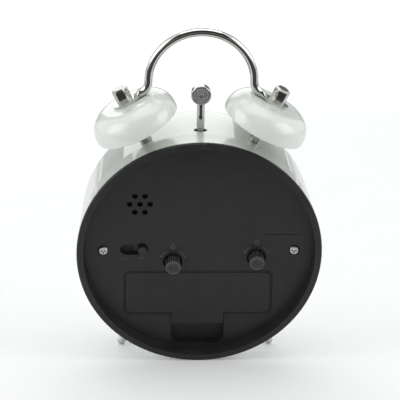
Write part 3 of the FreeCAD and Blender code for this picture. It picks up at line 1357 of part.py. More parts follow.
ear_rear = lever_rear - D.ear_gap - D.ear_thick
ear_front = lever_rear + D.lever_thick + D.ear_gap
hammer_pin = new_body("hammer_pin")
rod(hammer_pin, 0, hammer_pivot, D.pin_radius, ear_rear, ear_front + D.ear_thick - ear_rear)
node(hammer_pin)

motor_y = hammer_pivot - D.motor_drop
crank_rear = lever_rear + D.lever_thick + D.crank_gap + D.crank_pin_length
motor_rear = crank_rear + D.crank_thick + D.motor_gap
mount_rear = frame_rear - D.mount_thick
motor_length = mount_rear - motor_rear
sleeve_rear = mount_rear - motor_length * 0.8
motor_mount = new_body("motor_mount")
block(motor_mount, -D.ear_half, D.ear_half, motor_y - D.motor_radius - D.sleeve_wall,
      hammer_pivot - D.arm_top, mount_rear, D.mount_thick)
rod(motor_mount, 0, motor_y, D.motor_radius + D.seat_gap + D.sleeve_wall, sleeve_rear,
    mount_rear - sleeve_rear)
for side in (1, -1):
    near, far = sorted((D.ear_half * side, (D.ear_half - D.arm_width) * side),
                       key=lambda item: item.value)
    block(motor_mount, near, far, hammer_pivot - D.arm_top - D.arm_height,
          hammer_pivot - D.arm_top, ear_rear, mount_rear - ear_rear)
for low_face in (ear_rear, ear_front):
    block(motor_mount, -D.ear_half, D.ear_half, hammer_pivot - D.ear_foot,
          hammer_pivot + D.ear_top, low_face, D.ear_thick)
drill(motor_mount, [(0, motor_y)], D.motor_radius + D.seat_gap, sleeve_rear, mount_rear - sleeve_rear)
drill(motor_mount, [(0, hammer_pivot)], D.pin_radius + D.seat_gap, ear_rear, D.ear_thick)
drill(motor_mount, [(0, hammer_pivot)], D.pin_radius + D.seat_gap, ear_front, D.ear_thick)
node(motor_mount)

bell_motor = new_body("bell_motor")
rod(bell_motor, 0, motor_y, D.motor_radius, motor_rear, motor_length)
drill(bell_motor, [(0, motor_y)], D.motor_shaft + D.run_gap, motor_rear, motor_length / 2)
node(bell_motor)

motor_crank = new_body("motor_crank")
rod(motor_crank, 0, motor_y, D.crank_radius, crank_rear, D.crank_thick)
rod(motor_crank, 0, motor_y, D.motor_shaft, crank_rear, D.crank_thick + motor_length / 2)
rod(motor_crank, 0, motor_y - D.crank_throw, D.crank_pin, crank_rear - D.crank_pin_length,
    D.crank_pin_length)
node(motor_crank)

# Feet, screwed into the shell from below, with their nuts inside.

foot_place = spoke_place(180 - D.foot_angle.value, D.foot_depth.value, -1)
foot_start = skin_radius(D.foot_depth - D.foot_base) + D.seat_gap
foot_seat = skin_radius(D.foot_depth + D.inner_nut_flat / 2) - D.case_wall - D.stud_room
ball_middle = foot_reach - D.foot_tip
left_foot = new_body("left_foot")
turn(left_foot, [(0, foot_start), (D.foot_base, foot_start), (D.foot_tip, ball_middle), (0, ball_middle)])
ball = left_foot.newObject("PartDesign::AdditiveSphere", "left_foot_ball")
ball.setExpression("Radius", D.foot_tip.text)
ball.AttachmentSupport = (origin_plane(left_foot, "XY_Plane"), [""])
ball.MapMode = "FlatFace"
ball.setExpression("AttachmentOffset.Base.z", ball_middle.text)
left_foot.Tip = ball
rod(left_foot, 0, 0, D.stud_radius, foot_start - D.stud_tail, D.stud_tail)
node(left_foot, foot_place)
joined_node(mirror_of("right_foot", left_foot))
foot_nut = seat(inner_nut("foot_nut", foot_seat), foot_place)
joined_node(group_of("foot_nuts", [foot_nut, mirror_of("foot_nut_twin", foot_nut)]))


def lean_angle():
    """How far the clock leans back: the line that touches the rim's and the feet's undersides."""
    across = (D.rim_edge - D.foot_depth).value
    foot_y = -(foot_reach - D.foot_tip).value * math.cos(math.radians(D.foot_angle.value))
    rise = -(D.rim_radius - D.rim_edge).value - foot_y
    reach = math.hypot(across, rise)
    tangent = math.degrees(math.asin((D.foot_tip - D.rim_edge).value / reach))
    return tangent + math.degrees(math.atan2(rise, -across))


def put(move):
    """Moves every piece by the same placement, each in its own place before it."""
    for thing, place in PLACES:
        thing.Placement = move.multiply(place)
    DOC.recompute()


def place_all():
    """Stands the clock on its rim and feet, centred over the origin, its dial towards -Y."""
    stand = FreeCAD.Placement(V(0, 0, 0), FreeCAD.Rotation(V(1, 0, 0), 90 - lean_angle()))
    put(stand)
    box = FreeCAD.BoundBox()
    for thing in NODES:
        box.add(thing.Shape.optimalBoundingBox(False))
    shift = FreeCAD.Placement(V(0, -(box.YMin + box.YMax) / 2, -box.ZMin), FreeCAD.Rotation())
    put(shift.multiply(stand))


def check_all():
    """Stops at any object in error and any shape that is empty, invalid or broken up."""
    for thing in DOC.Objects:
        if "Invalid" in thing.State or "Error" in thing.State:
            raise ValueError("%s is %s" % (thing.Label, thing.State))
    for thing in NODES:
        shape = thing.Shape
        pieces = len(thing.Links) if thing.TypeId == "Part::Compound" else 1
        if shape.isNull() or not shape.isValid() or len(shape.Solids) != pieces:
            raise ValueError("the shape of %s is not sound" % thing.Label)


def write_all():
    """Writes one file for each piece, named after its label."""
    os.makedirs("parts", exist_ok=True)
    for thing in NODES:
        thing.Shape.exportStep("parts/%s.step" % thing.Label)


place_all()
check_all()
write_all()
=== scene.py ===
"""Looks of the twin-bell alarm clock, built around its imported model.

The clock leans back on its feet. Its own directions are x to the right as seen from the
front, y up along the case and z forward from the rear rim; the Pose class turns them into
the model's directions. The sizes of the marks and of the dial's print, and names that end
in _mm, are millimetres. All other lengths are metres.
"""
import logging
import math
from dataclasses import dataclass
from enum import Enum

import bpy
import numpy as np
from mathutils import Matrix, Vector


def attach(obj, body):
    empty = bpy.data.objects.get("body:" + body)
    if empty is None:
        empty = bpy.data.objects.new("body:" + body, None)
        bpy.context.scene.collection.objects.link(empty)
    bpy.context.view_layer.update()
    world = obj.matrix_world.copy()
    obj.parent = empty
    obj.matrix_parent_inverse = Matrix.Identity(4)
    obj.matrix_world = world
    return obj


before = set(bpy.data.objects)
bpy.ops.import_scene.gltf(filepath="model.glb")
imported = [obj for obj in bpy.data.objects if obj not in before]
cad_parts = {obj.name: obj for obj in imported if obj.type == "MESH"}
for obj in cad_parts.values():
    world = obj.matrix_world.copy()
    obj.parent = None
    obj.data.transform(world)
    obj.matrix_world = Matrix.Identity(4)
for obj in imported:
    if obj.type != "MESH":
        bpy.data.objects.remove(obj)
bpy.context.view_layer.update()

LOG = logging.getLogger("clock")
MM = 0.001
SUNK_MM = 0.02  # how far the foot of a mark or of the print stands in its plate
Colour = tuple[float, float, float]
Socket = bpy.types.NodeSocket


class Face(Enum):
    """The side of a plate that a mark stands on."""

    REAR = -1.0
    FRONT = 1.0


# Meshes worked out as whole arrays


@dataclass(frozen=True)
class Pose:
    """How the clock's own directions stand in the model.

    The clock is turned about X by a right angle less its lean, then moved so that it stands
    on the floor with the middle of its outline over the origin.
    """

    lean_deg: float = 12.306246
    base_mm: tuple[float, float, float] = (0.0, 20.421236, 56.026658)

    def matrix(self) -> Matrix:
        """Gives the turn from the clock's directions to the model's."""
        return Matrix.Rotation(math.radians(90.0 - self.lean_deg), 3, "X")

    def points(self, clock_mm: np.ndarray) -> np.ndarray:
        """Moves points into the model.

        Args:
            clock_mm: Points in the clock's directions, in millimetres, one per row.

        Returns:
            The same points in the model, in metres.
        """
        turned = clock_mm @ np.array(self.matrix()).T
        return (turned + np.array(self.base_mm)) * MM

    def direction(self, clock: tuple[float, float, float]) -> Vector:
        """Turns a direction of the clock into one of the model."""
        return self.matrix() @ Vector(clock)


POSE = Pose()


def mesh_object(name: str, points: np.ndarray, faces: np.ndarray, smooth: bool = True) -> bpy.types.Object:
    """Makes an object at the origin from arrays.

    Args:
        name: The piece's name.
        points: Vertices in metres, one per row.
        faces: Corner numbers, one face per row.
        smooth: Whether its faces are shaded smooth.

    Returns:
        The new object, linked to the scene.
    """
    mesh = bpy.data.meshes.new(name)
    mesh.from_pydata(points.tolist(), [], faces.tolist())
    mesh.polygons.foreach_set("use_smooth", np.full(len(mesh.polygons), smooth))
    mesh.update()
    piece = bpy.data.objects.new(name, mesh)
    bpy.context.scene.collection.objects.link(piece)
    return piece


def strip_faces(rows: int, columns: int, closed: bool) -> np.ndarray:
    """Gives the quads of a grid of points stored row by row.

    Args:
        rows: Number of rows, along the path.
        columns: Number of columns, across it.
        closed: Whether the last row joins the first.

    Returns:
        The quads, one per row.
    """
    starts = np.arange(rows if closed else rows - 1)[:, None]
    across = np.arange(columns - 1)[None, :]
    after = (starts + 1) % rows
    a = starts * columns + across
    b = a + 1
    c = after * columns + across + 1
    d = after * columns + across
    return np.stack([a, b, c, d], axis=-1).reshape(-1, 4)


def raised_line(path: np.ndarray, width: float, height: float, level: float, face: Face,
                closed: bool = False) -> tuple[np.ndarray, np.ndarray]:
    """Works out a low ridge along a flat path: a trapezium profile carried along it.

    At each point of the path the profile stands across the path's own direction, half the
    width to each side at its foot and six tenths of that at its top.

    Args:
        path: Points of the path, in the clock's x and y, in millimetres.
        width: Width of the ridge's foot.
        height: How far the ridge stands out.
        level: The clock's z of the surface that it stands on.
        face: The side of the plate.
        closed: Whether the path returns to its start.

    Returns:
        Vertices in the clock's directions, in millimetres, and quads.
    """
    if closed:
        ahead = np.roll(path, -1, axis=0) - np.roll(path, 1, axis=0)
    else:
        ahead = np.gradient(path, axis=0)
    ahead = ahead / np.linalg.norm(ahead, axis=1, keepdims=True)
    side = np.stack([-ahead[:, 1], ahead[:, 0]], axis=1)
    across = np.array([-0.5, -0.3, 0.3, 0.5]) * width
    up = np.array([-SUNK_MM, height, height, -SUNK_MM]) * face.value
    flat = path[:, None, :] + side[:, None, :] * across[None, :, None]
    rise = np.broadcast_to(level + up[None, :, None], flat.shape[:2] + (1,))
    points = np.concatenate([flat, rise], axis=2).reshape(-1, 3)
    quads = strip_faces(len(path), 4, closed)
    if not closed:
        last = (len(path) - 1) * 4
        ends = np.array([[3, 2, 1, 0], [last, last + 1, last + 2, last + 3]])
        quads = np.vstack([quads, ends])
    if face is Face.FRONT:
        quads = quads[:, ::-1]
    return points, quads


def arc_path(centre: tuple[float, float], radius: float, start_deg: float, end_deg: float,
             count: int = 24) -> np.ndarray:
    """Gives points on a circle, with angles counted from the top towards +x."""
    angle = np.radians(np.linspace(start_deg, end_deg, count))
    return np.stack([centre[0] + radius * np.sin(angle), centre[1] + radius * np.cos(angle)], axis=1)


def line_path(start: tuple[float, float], end: tuple[float, float]) -> np.ndarray:
    """Gives the two ends of a straight line as a path."""
    return np.array([start, end], dtype=float)


def gathered(parts: list[tuple[np.ndarray, np.ndarray]]) -> tuple[np.ndarray, np.ndarray]:
    """Joins several meshes' arrays into one."""
    sizes = np.cumsum([0] + [len(points) for points, _ in parts[:-1]])
    points = np.vstack([part[0] for part in parts])
    faces = np.vstack([part[1] + start for part, start in zip(parts, sizes)])
    return points, faces


def lettering(name: str, words: list[tuple[str, float, float]], size: float, level: float, face: Face,
              height: float) -> bpy.types.Object:
    """Sets short words on a plate, as one mesh.

    Each word is centred on its place. On the rear it is turned so that it reads from behind.

    Args:
        name: The piece's name.
        words: Each word with the clock's x and y of its middle, in millimetres.
        size: Height of the letters' line, in millimetres.
        level: The clock's z of the plate.
        face: The side of the plate.
        height: How far the letters stand out, in millimetres.

    Returns:
        The lettering as a mesh object.
    """
    parts = []
    for text, x, y in words:
        curve = bpy.data.curves.new(name + "_text", "FONT")
        curve.body = text
        curve.align_x = "CENTER"
        curve.align_y = "CENTER"
        curve.size = size
        curve.extrude = height / 2
        curve.resolution_u = 3
        holder = bpy.data.objects.new(name + "_text", curve)
        bpy.context.scene.collection.objects.link(holder)
        mesh = bpy.data.meshes.new_from_object(holder)
        mesh.calc_loop_triangles()
        points = np.empty(len(mesh.vertices) * 3)
        mesh.vertices.foreach_get("co", points)
        points = points.reshape(-1, 3)
        faces = np.empty(len(mesh.loop_triangles) * 3, dtype=np.int32)
        mesh.loop_triangles.foreach_get("vertices", faces)
        placed = np.empty_like(points)
        placed[:, 0] = x + points[:, 0] * face.value
        placed[:, 1] = y + points[:, 1]
        placed[:, 2] = level + (points[:, 2] + height * 0.45) * face.value
        parts.append((placed, faces.reshape(-1, 3)))
        bpy.data.objects.remove(holder)
        bpy.data.curves.remove(curve)
        bpy.data.meshes.remove(mesh)
    points, faces = gathered(parts)
    return mesh_object(name, POSE.points(points), faces, smooth=False)


# Shader node groups


class Nodes:
    """A short hand for building a node tree."""

    def __init__(self, tree: bpy.types.NodeTree) -> None:
        """Keeps the tree that the nodes go into."""
        self.tree = tree

    def add(self, kind: str, **settings: object) -> bpy.types.Node:
        """Adds a node and sets its properties.

        Args:
            kind: The node's type name.
            **settings: Properties of the node.

        Returns:
            The node.
        """
        made = self.tree.nodes.new(kind)
        for key, value in settings.items():
            setattr(made, key, value)
        return made

    def feed(self, target: Socket, source: object) -> None:
        """Links a socket to an input, or writes a constant into it."""
        if isinstance(source, bpy.types.NodeSocket):
            self.tree.links.new(source, target)
        else:
            target.default_value = source

    def math(self, operation: str, first: object, second: object = 0.0, third: object = 0.0,
             clamp: bool = False) -> Socket:
        """Adds a Math node and gives its output."""
        made = self.add("ShaderNodeMath", operation=operation, use_clamp=clamp)
        for index, source in enumerate((first, second, third)):
            self.feed(made.inputs[index], source)
        return made.outputs[0]

    def noise(self, vector: Socket, scale: object, detail: float = 2.0, rough: float = 0.5) -> Socket:
        """Adds a Noise Texture and gives its factor."""
        made = self.add("ShaderNodeTexNoise")
        self.feed(made.inputs["Vector"], vector)
        self.feed(made.inputs["Scale"], scale)
        made.inputs["Detail"].default_value = detail
        made.inputs["Roughness"].default_value = rough
        return made.outputs[0]

    def ramp(self, factor: Socket, low: float, high: float, start: float = 0.0, end: float = 1.0) -> Socket:
        """Maps a value from low..high to start..end, and holds it there outside."""
        made = self.add("ShaderNodeMapRange")
        self.feed(made.inputs["Value"], factor)
        for socket, value in (("From Min", low), ("From Max", high), ("To Min", start), ("To Max", end)):
            made.inputs[socket].default_value = value
        return made.outputs[0]

    def mix(self, factor: object, first: object, second: object) -> Socket:
        """Mixes two colours and gives the result."""
        made = self.add("ShaderNodeMix", data_type="RGBA")
        self.feed(made.inputs[0], factor)
        for index, source in ((6, first), (7, second)):
            if isinstance(source, tuple):
                source = (*source, 1.0)
            self.feed(made.inputs[index], source)
        return made.outputs[2]


def new_group(name: str, inputs: dict[str, tuple[str, object]],
              outputs: dict[str, str]) -> tuple[bpy.types.NodeTree, Nodes, object, object]:
    """Starts a shader node group with named sockets.

    Args:
        name: The group's name.
        inputs: Socket name to its kind ("Float", "Vector" or "Color") and default.
        outputs: Socket name to its kind.

    Returns:
        The group, its node helper, its input node and its output node.
    """
    group = bpy.data.node_groups.new(name, "ShaderNodeTree")
    for label, (kind, default) in inputs.items():
        socket = group.interface.new_socket(label, in_out="INPUT", socket_type="NodeSocket" + kind)
        if default is not None:
            socket.default_value = default
    for label, kind in outputs.items():
        group.interface.new_socket(label, in_out="OUTPUT", socket_type="NodeSocket" + kind)
    nodes = Nodes(group)
    return group, nodes, nodes.add("NodeGroupInput"), nodes.add("NodeGroupOutput")


class Effects:
    """The effects that several finishes share, each a node group built once."""

    def __init__(self) -> None:
        """Builds every group."""
        self.grain = self.build_grain()
        self.wear = self.build_wear()
        self.dust = self.build_dust()
        self.rings = self.build_rings()
        self.streaks = self.build_streaks()

    def build_grain(self) -> bpy.types.NodeTree:
        """Fine surface grain: small noise for height, wide noise for shade."""
        group, nodes, source, target = new_group(
            "fine_grain", {"Vector": ("Vector", None), "Scale": ("Float", 1000.0)},
            {"Height": "Float", "Shade": "Float"})
        vector, scale = source.outputs[0], source.outputs[1]
        fine = nodes.noise(vector, scale, 3.0, 0.6)
        wide = nodes.noise(vector, nodes.math("MULTIPLY", scale, 0.04), 3.0)
        nodes.feed(target.inputs["Height"], fine)
        nodes.feed(target.inputs["Shade"], nodes.ramp(wide, 0.3, 0.7))
        return group

    def build_wear(self) -> bpy.types.NodeTree:
        """Edge wear: where a rounded normal leaves the true one, broken up by noise."""
        group, nodes, source, target = new_group(
            "edge_wear", {"Vector": ("Vector", None), "Radius": ("Float", 0.0004),
                          "Amount": ("Float", 0.5)}, {"Mask": "Float"})
        bevel = nodes.add("ShaderNodeBevel", samples=4)
        nodes.feed(bevel.inputs["Radius"], source.outputs["Radius"])
        true = nodes.add("ShaderNodeNewGeometry")
        dot = nodes.add("ShaderNodeVectorMath", operation="DOT_PRODUCT")
        nodes.feed(dot.inputs[0], bevel.outputs[0])
        nodes.feed(dot.inputs[1], true.outputs["True Normal"])
        edge = nodes.ramp(dot.outputs["Value"], 0.97, 0.8)
        broken = nodes.ramp(nodes.noise(source.outputs["Vector"], 900.0, 4.0), 0.35, 0.65, 0.25, 1.0)
        worn = nodes.math("MULTIPLY", edge, broken)
        nodes.feed(target.inputs["Mask"], nodes.math("MULTIPLY", worn, source.outputs["Amount"]))
        return group

    def build_dust(self) -> bpy.types.NodeTree:
        """Dust specks and a faint film, thicker on faces that look up."""
        group, nodes, source, target = new_group(
            "dust_film", {"Vector": ("Vector", None), "Amount": ("Float", 0.2)}, {"Mask": "Float"})
        geometry = nodes.add("ShaderNodeNewGeometry")
        split = nodes.add("ShaderNodeSeparateXYZ")
        nodes.feed(split.inputs[0], geometry.outputs["Normal"])
        upward = nodes.ramp(split.outputs["Z"], -0.2, 1.0, 0.25, 1.0)
        specks = nodes.ramp(nodes.noise(source.outputs["Vector"], 2600.0, 1.0), 0.72, 0.8)
        film = nodes.ramp(nodes.noise(source.outputs["Vector"], 60.0, 5.0, 0.65), 0.4, 0.75, 0.0, 0.35)
        both = nodes.math("MAXIMUM", specks, film)
        nodes.feed(target.inputs["Mask"], nodes.math(
            "MULTIPLY", nodes.math("MULTIPLY", both, upward), source.outputs["Amount"], clamp=True))
        return group

    def build_rings(self) -> bpy.types.NodeTree:
        """Turning marks: a sine of the distance from the Z axis of the given vector."""
        group, nodes, source, target = new_group(
            "turned_rings", {"Vector": ("Vector", None), "Pitch": ("Float", 0.0002)},
            {"Height": "Float"})
        flat = nodes.add("ShaderNodeVectorMath", operation="MULTIPLY")
        nodes.feed(flat.inputs[0], source.outputs["Vector"])
        flat.inputs[1].default_value = (1.0, 1.0, 0.0)
        length = nodes.add("ShaderNodeVectorMath", operation="LENGTH")
        nodes.feed(length.inputs[0], flat.outputs[0])
        turns = nodes.math("DIVIDE", length.outputs["Value"], source.outputs["Pitch"])
        wave = nodes.math("SINE", nodes.math("MULTIPLY", turns, 2.0 * math.pi))
        nodes.feed(target.inputs["Height"], nodes.math("MULTIPLY_ADD", wave, 0.5, 0.5))
        return group

    def build_streaks(self) -> bpy.types.NodeTree:
        """Hair scratches: noise drawn out along one direction of the given vector."""
        group, nodes, source, target = new_group(
            "hair_scratches", {"Vector": ("Vector", None), "Scale": ("Float", 400.0)},
            {"Height": "Float", "Mask": "Float"})
        stretch = nodes.add("ShaderNodeVectorMath", operation="MULTIPLY")
        nodes.feed(stretch.inputs[0], source.outputs["Vector"])
        stretch.inputs[1].default_value = (1.0, 0.06, 1.0)
        lines = nodes.noise(stretch.outputs[0], source.outputs["Scale"], 4.0, 0.7)
        smudge = nodes.noise(source.outputs["Vector"], 45.0, 4.0)
        nodes.feed(target.inputs["Height"], lines)
        nodes.feed(target.inputs["Mask"], nodes.ramp(smudge, 0.4, 0.7))
        return group


EFFECTS = Effects()


def fresh_material(name: str) -> tuple[bpy.types.Material, Nodes, bpy.types.Node, Socket]:
    """Starts a material.

    Args:
        name: The material's name.

    Returns:
        The material, its node helper, its Principled shader and the Object coordinates.
    """
    material = bpy.data.materials.new(name)
    material.use_nodes = True
    nodes = Nodes(material.node_tree)
    shader = material.node_tree.nodes["Principled BSDF"]
    place = nodes.add("ShaderNodeTexCoord").outputs["Object"]
    return material, nodes, shader, place


def use_group(nodes: Nodes, group: bpy.types.NodeTree, **values: object) -> bpy.types.Node:
    """Places a node group and fills its inputs.

    Args:
        nodes: The helper of the tree that the group goes into.
        group: The node group.
        **values: Input names to sockets or constants.

    Returns:
        The group node.
    """
    placed = nodes.add("ShaderNodeGroup", node_tree=group)
    for key, value in values.items():
        nodes.feed(placed.inputs[key], value)
    return placed


def raise_bump(nodes: Nodes, shader: bpy.types.Node, height: Socket, depth: float,
               soft_edge: float = 0.0) -> None:
    """Feeds a height into the shader's normal.

    Args:
        nodes: The helper of the material's tree.
        shader: The Principled shader.
        height: The height, from 0 to 1.
        depth: The height's full depth in metres.
        soft_edge: Radius over which sharp edges catch the light as if rounded.
    """
    bump = nodes.add("ShaderNodeBump")
    bump.inputs["Strength"].default_value = 1.0
    bump.inputs["Distance"].default_value = depth
    nodes.feed(bump.inputs["Height"], height)
    if soft_edge > 0.0:
        bevel = nodes.add("ShaderNodeBevel", samples=4)
        bevel.inputs["Radius"].default_value = soft_edge
        nodes.feed(bump.inputs["Normal"], bevel.outputs[0])
    nodes.feed(shader.inputs["Normal"], bump.outputs[0])


def shaded(colour: Colour, factor: float, lift: float = 0.0) -> Colour:
    """Makes a colour lighter or darker, and holds it at white."""
    return tuple(min(1.0, channel * factor + lift) for channel in colour)


def uneven_gloss(nodes: Nodes, shader: bpy.types.Node, factor: Socket, low: float, high: float) -> None:
    """Lets the roughness go from low to high as a factor goes from 0 to 1."""
    nodes.feed(shader.inputs["Roughness"], nodes.ramp(factor, 0.0, 1.0, low, high))


def centred(nodes: Nodes, vector: Socket, centre_mm: tuple[float, float, float],
            axis: tuple[float, float, float]) -> Socket:
    """Moves coordinates to a point of the clock and turns its axis to Z.

    Args:
        nodes: The helper of the material's tree.
        vector: The Object coordinates.
        centre_mm: The point, in the clock's directions.
        axis: The direction that becomes Z, in the clock's directions.

    Returns:
        The new coordinates.
    """
    centre = POSE.points(np.array([centre_mm]))[0]
    shift = nodes.add("ShaderNodeVectorMath", operation="SUBTRACT")
    nodes.feed(shift.inputs[0], vector)
    shift.inputs[1].default_value = tuple(centre)
    turn = POSE.direction(axis).rotation_difference(Vector((0.0, 0.0, 1.0))).to_euler()
    mapping = nodes.add("ShaderNodeMapping")
    nodes.feed(mapping.inputs["Vector"], shift.outputs[0])
    mapping.inputs["Rotation"].default_value = tuple(turn)
    return mapping.outputs[0]


# Finishes


@dataclass(frozen=True)
class Moulding:
    """Moulded plastic with a fine spark-eroded grain, soft worn edges and a little dust."""

    name: str
    colour: Colour
    roughness: float = 0.5
    grain_depth: float = 0.000012
    grain_scale: float = 2600.0
    worn: float = 0.35
    dusty: float = 0.1
    specular: float = 0.5

    def build(self) -> bpy.types.Material:
        """Builds the material."""
        material, nodes, shader, place = fresh_material(self.name)
        grain = use_group(nodes, EFFECTS.grain, Vector=place, Scale=self.grain_scale)
        wear = use_group(nodes, EFFECTS.wear, Vector=place, Radius=0.0003, Amount=self.worn)
        dust = use_group(nodes, EFFECTS.dust, Vector=place, Amount=self.dusty)
        dark, light = shaded(self.colour, 0.86), shaded(self.colour, 1.12)
        body = nodes.mix(grain.outputs["Shade"], dark, light)
        body = nodes.mix(wear.outputs["Mask"], body, shaded(self.colour, 1.6, 0.03))
        body = nodes.mix(dust.outputs["Mask"], body, (0.5, 0.5, 0.48))
        nodes.feed(shader.inputs["Base Color"], body)
        rough = nodes.ramp(grain.outputs["Shade"], 0.0, 1.0, self.roughness * 0.9, self.roughness * 1.1)
        polished = nodes.math("MULTIPLY", wear.outputs["Mask"], 0.12)
        nodes.feed(shader.inputs["Roughness"], nodes.math("SUBTRACT", rough, polished, clamp=True))
        shader.inputs["Specular IOR Level"].default_value = self.specular
        raise_bump(nodes, shader, grain.outputs["Height"], self.grain_depth, 0.00015)
        return material


@dataclass(frozen=True)
class Fluted:
    """Black moulding with flutes about an axis: painted highlight on their crests, painted shade between."""

    name: str
    centre_mm: tuple[float, float, float]
    flutes: float = 22.0
    groove_painted_shade: Colour = (0.005, 0.005, 0.005)
    crest_painted_highlight: Colour = (0.13, 0.132, 0.125)
    hub: float = 0.0013
    hub_edge: float = 0.0003
    hub_share: float = 0.2
    depth: float = 0.00012
    smooth: float = 0.34
    rough: float = 0.42
    grain_scale: float = 3200.0

    def build(self) -> bpy.types.Material:
        """Builds the material: the flutes are a sine of the angle, and end at the hub."""
        material, nodes, shader, place = fresh_material(self.name)
        local = centred(nodes, place, self.centre_mm, (0.0, 0.0, 1.0))
        split = nodes.add("ShaderNodeSeparateXYZ")
        nodes.feed(split.inputs[0], local)
        angle = nodes.math("ARCTAN2", split.outputs["Y"], split.outputs["X"])
        wave = nodes.math("SINE", nodes.math("MULTIPLY", angle, self.flutes))
        square = nodes.math("MULTIPLY", split.outputs["X"], split.outputs["X"])
        square = nodes.math("MULTIPLY_ADD", split.outputs["Y"], split.outputs["Y"], square)
        outer = nodes.ramp(nodes.math("SQRT", square), self.hub, self.hub + self.hub_edge)
        height = nodes.math("MULTIPLY", nodes.ramp(wave, -1.0, 1.0), outer)
        grain = use_group(nodes, EFFECTS.grain, Vector=place, Scale=self.grain_scale)
        # Painted light: the crests are painted paler as highlight and the grooves near black as shade. The
        # flat hub takes an even tone between them.
        painted_flute_light_and_shade = nodes.mix(height, self.groove_painted_shade, self.crest_painted_highlight)
        flat = tuple((low + high) * self.hub_share for low, high in zip(self.groove_painted_shade, self.crest_painted_highlight))
        nodes.feed(shader.inputs["Base Color"], nodes.mix(outer, flat, painted_flute_light_and_shade))
        uneven_gloss(nodes, shader, grain.outputs["Shade"], self.smooth, self.rough)
        raise_bump(nodes, shader, height, self.depth)
        return material


@dataclass(frozen=True)
class Enamel:
    """Gloss paint on sheet metal: a clear coat over a faintly uneven, waved film."""

    name: str
    colour: Colour
    roughness: float = 0.3
    wave_depth: float = 0.000006
    coat: float = 0.9

    def build(self) -> bpy.types.Material:
        """Builds the material."""
        material, nodes, shader, place = fresh_material(self.name)
        grain = use_group(nodes, EFFECTS.grain, Vector=place, Scale=420.0)
        wear = use_group(nodes, EFFECTS.wear, Vector=place, Radius=0.0005, Amount=0.25)
        dust = use_group(nodes, EFFECTS.dust, Vector=place, Amount=0.05)
        dark, light = shaded(self.colour, 0.975), shaded(self.colour, 1.02)
        body = nodes.mix(grain.outputs["Shade"], dark, light)
        body = nodes.mix(wear.outputs["Mask"], body, (0.62, 0.63, 0.6))
        body = nodes.mix(dust.outputs["Mask"], body, (0.6, 0.6, 0.56))
        nodes.feed(shader.inputs["Base Color"], body)
        uneven_gloss(nodes, shader, grain.outputs["Shade"], self.roughness * 0.85, self.roughness * 1.15)
        shader.inputs["Coat Weight"].default_value = self.coat
        shader.inputs["Coat Roughness"].default_value = 0.03
        raise_bump(nodes, shader, grain.outputs["Height"], self.wave_depth, 0.0002)
        return material


@dataclass(frozen=True)
class Plated:
    """Bright plating: hair scratches, smudges and slightly dulled edges."""

    name: str
    colour: Colour = (0.67, 0.68, 0.65)
    roughness: float = 0.06
    scratch_depth: float = 0.000003
    scratch_scale: float = 500.0

    def build(self) -> bpy.types.Material:
        """Builds the material."""
        material, nodes, shader, place = fresh_material(self.name)
        streaks = use_group(nodes, EFFECTS.streaks, Vector=place, Scale=self.scratch_scale)
        wear = use_group(nodes, EFFECTS.wear, Vector=place, Radius=0.0001, Amount=0.25)
        body = nodes.mix(streaks.outputs["Mask"], self.colour, shaded(self.colour, 0.94))
        body = nodes.mix(wear.outputs["Mask"], body, shaded(self.colour, 0.8))
        nodes.feed(shader.inputs["Base Color"], body)
        shader.inputs["Metallic"].default_value = 1.0
        uneven_gloss(nodes, shader, streaks.outputs["Mask"], self.roughness * 0.7, self.roughness * 1.6)
        raise_bump(nodes, shader, streaks.outputs["Height"], self.scratch_depth, 0.00008)
        return material


@dataclass(frozen=True)
class Turned:
    """Turned and plated metal: rings about an axis in its faces, with fine streaks."""

    name: str
    centre_mm: tuple[float, float, float]
    axis: tuple[float, float, float]
    colour: Colour = (0.62, 0.63, 0.61)
    roughness: float = 0.2
    pitch: float = 0.0011
    ring_depth: float = 0.00006

    def build(self) -> bpy.types.Material:
        """Builds the material."""
        material, nodes, shader, place = fresh_material(self.name)
        local = centred(nodes, place, self.centre_mm, self.axis)
        rings = use_group(nodes, EFFECTS.rings, Vector=local, Pitch=self.pitch)
        fine = use_group(nodes, EFFECTS.rings, Vector=local, Pitch=self.pitch * 0.23)
        streaks = use_group(nodes, EFFECTS.streaks, Vector=place, Scale=700.0)
        both = nodes.math("MULTIPLY_ADD", fine.outputs[0], 0.35, rings.outputs[0])
        nodes.feed(shader.inputs["Base Color"], nodes.mix(
            streaks.outputs["Mask"], self.colour, shaded(self.colour, 0.88)))
        shader.inputs["Metallic"].default_value = 1.0
        uneven_gloss(nodes, shader, streaks.outputs["Mask"], self.roughness * 0.8, self.roughness * 1.3)
        raise_bump(nodes, shader, both, self.ring_depth, 0.0002)
        return material


@dataclass(frozen=True)
class Brushed:
    """Plain steel or painted sheet with a drawn grain."""

    name: str
    colour: Colour
    roughness: float = 0.32
    metallic: float = 1.0
    depth: float = 0.000006

    def build(self) -> bpy.types.Material:
        """Builds the material."""
        material, nodes, shader, place = fresh_material(self.name)
        streaks = use_group(nodes, EFFECTS.streaks, Vector=place, Scale=1200.0)
        grain = use_group(nodes, EFFECTS.grain, Vector=place, Scale=1500.0)
        dark, light = shaded(self.colour, 0.84), shaded(self.colour, 1.1)
        nodes.feed(shader.inputs["Base Color"], nodes.mix(grain.outputs["Shade"], dark, light))
        shader.inputs["Metallic"].default_value = self.metallic
        nodes.feed(shader.inputs["Roughness"], nodes.ramp(
            streaks.outputs["Height"], 0.3, 0.7, self.roughness * 0.8, self.roughness * 1.25))
        raise_bump(nodes, shader, streaks.outputs["Height"], self.depth, 0.0001)
        return material


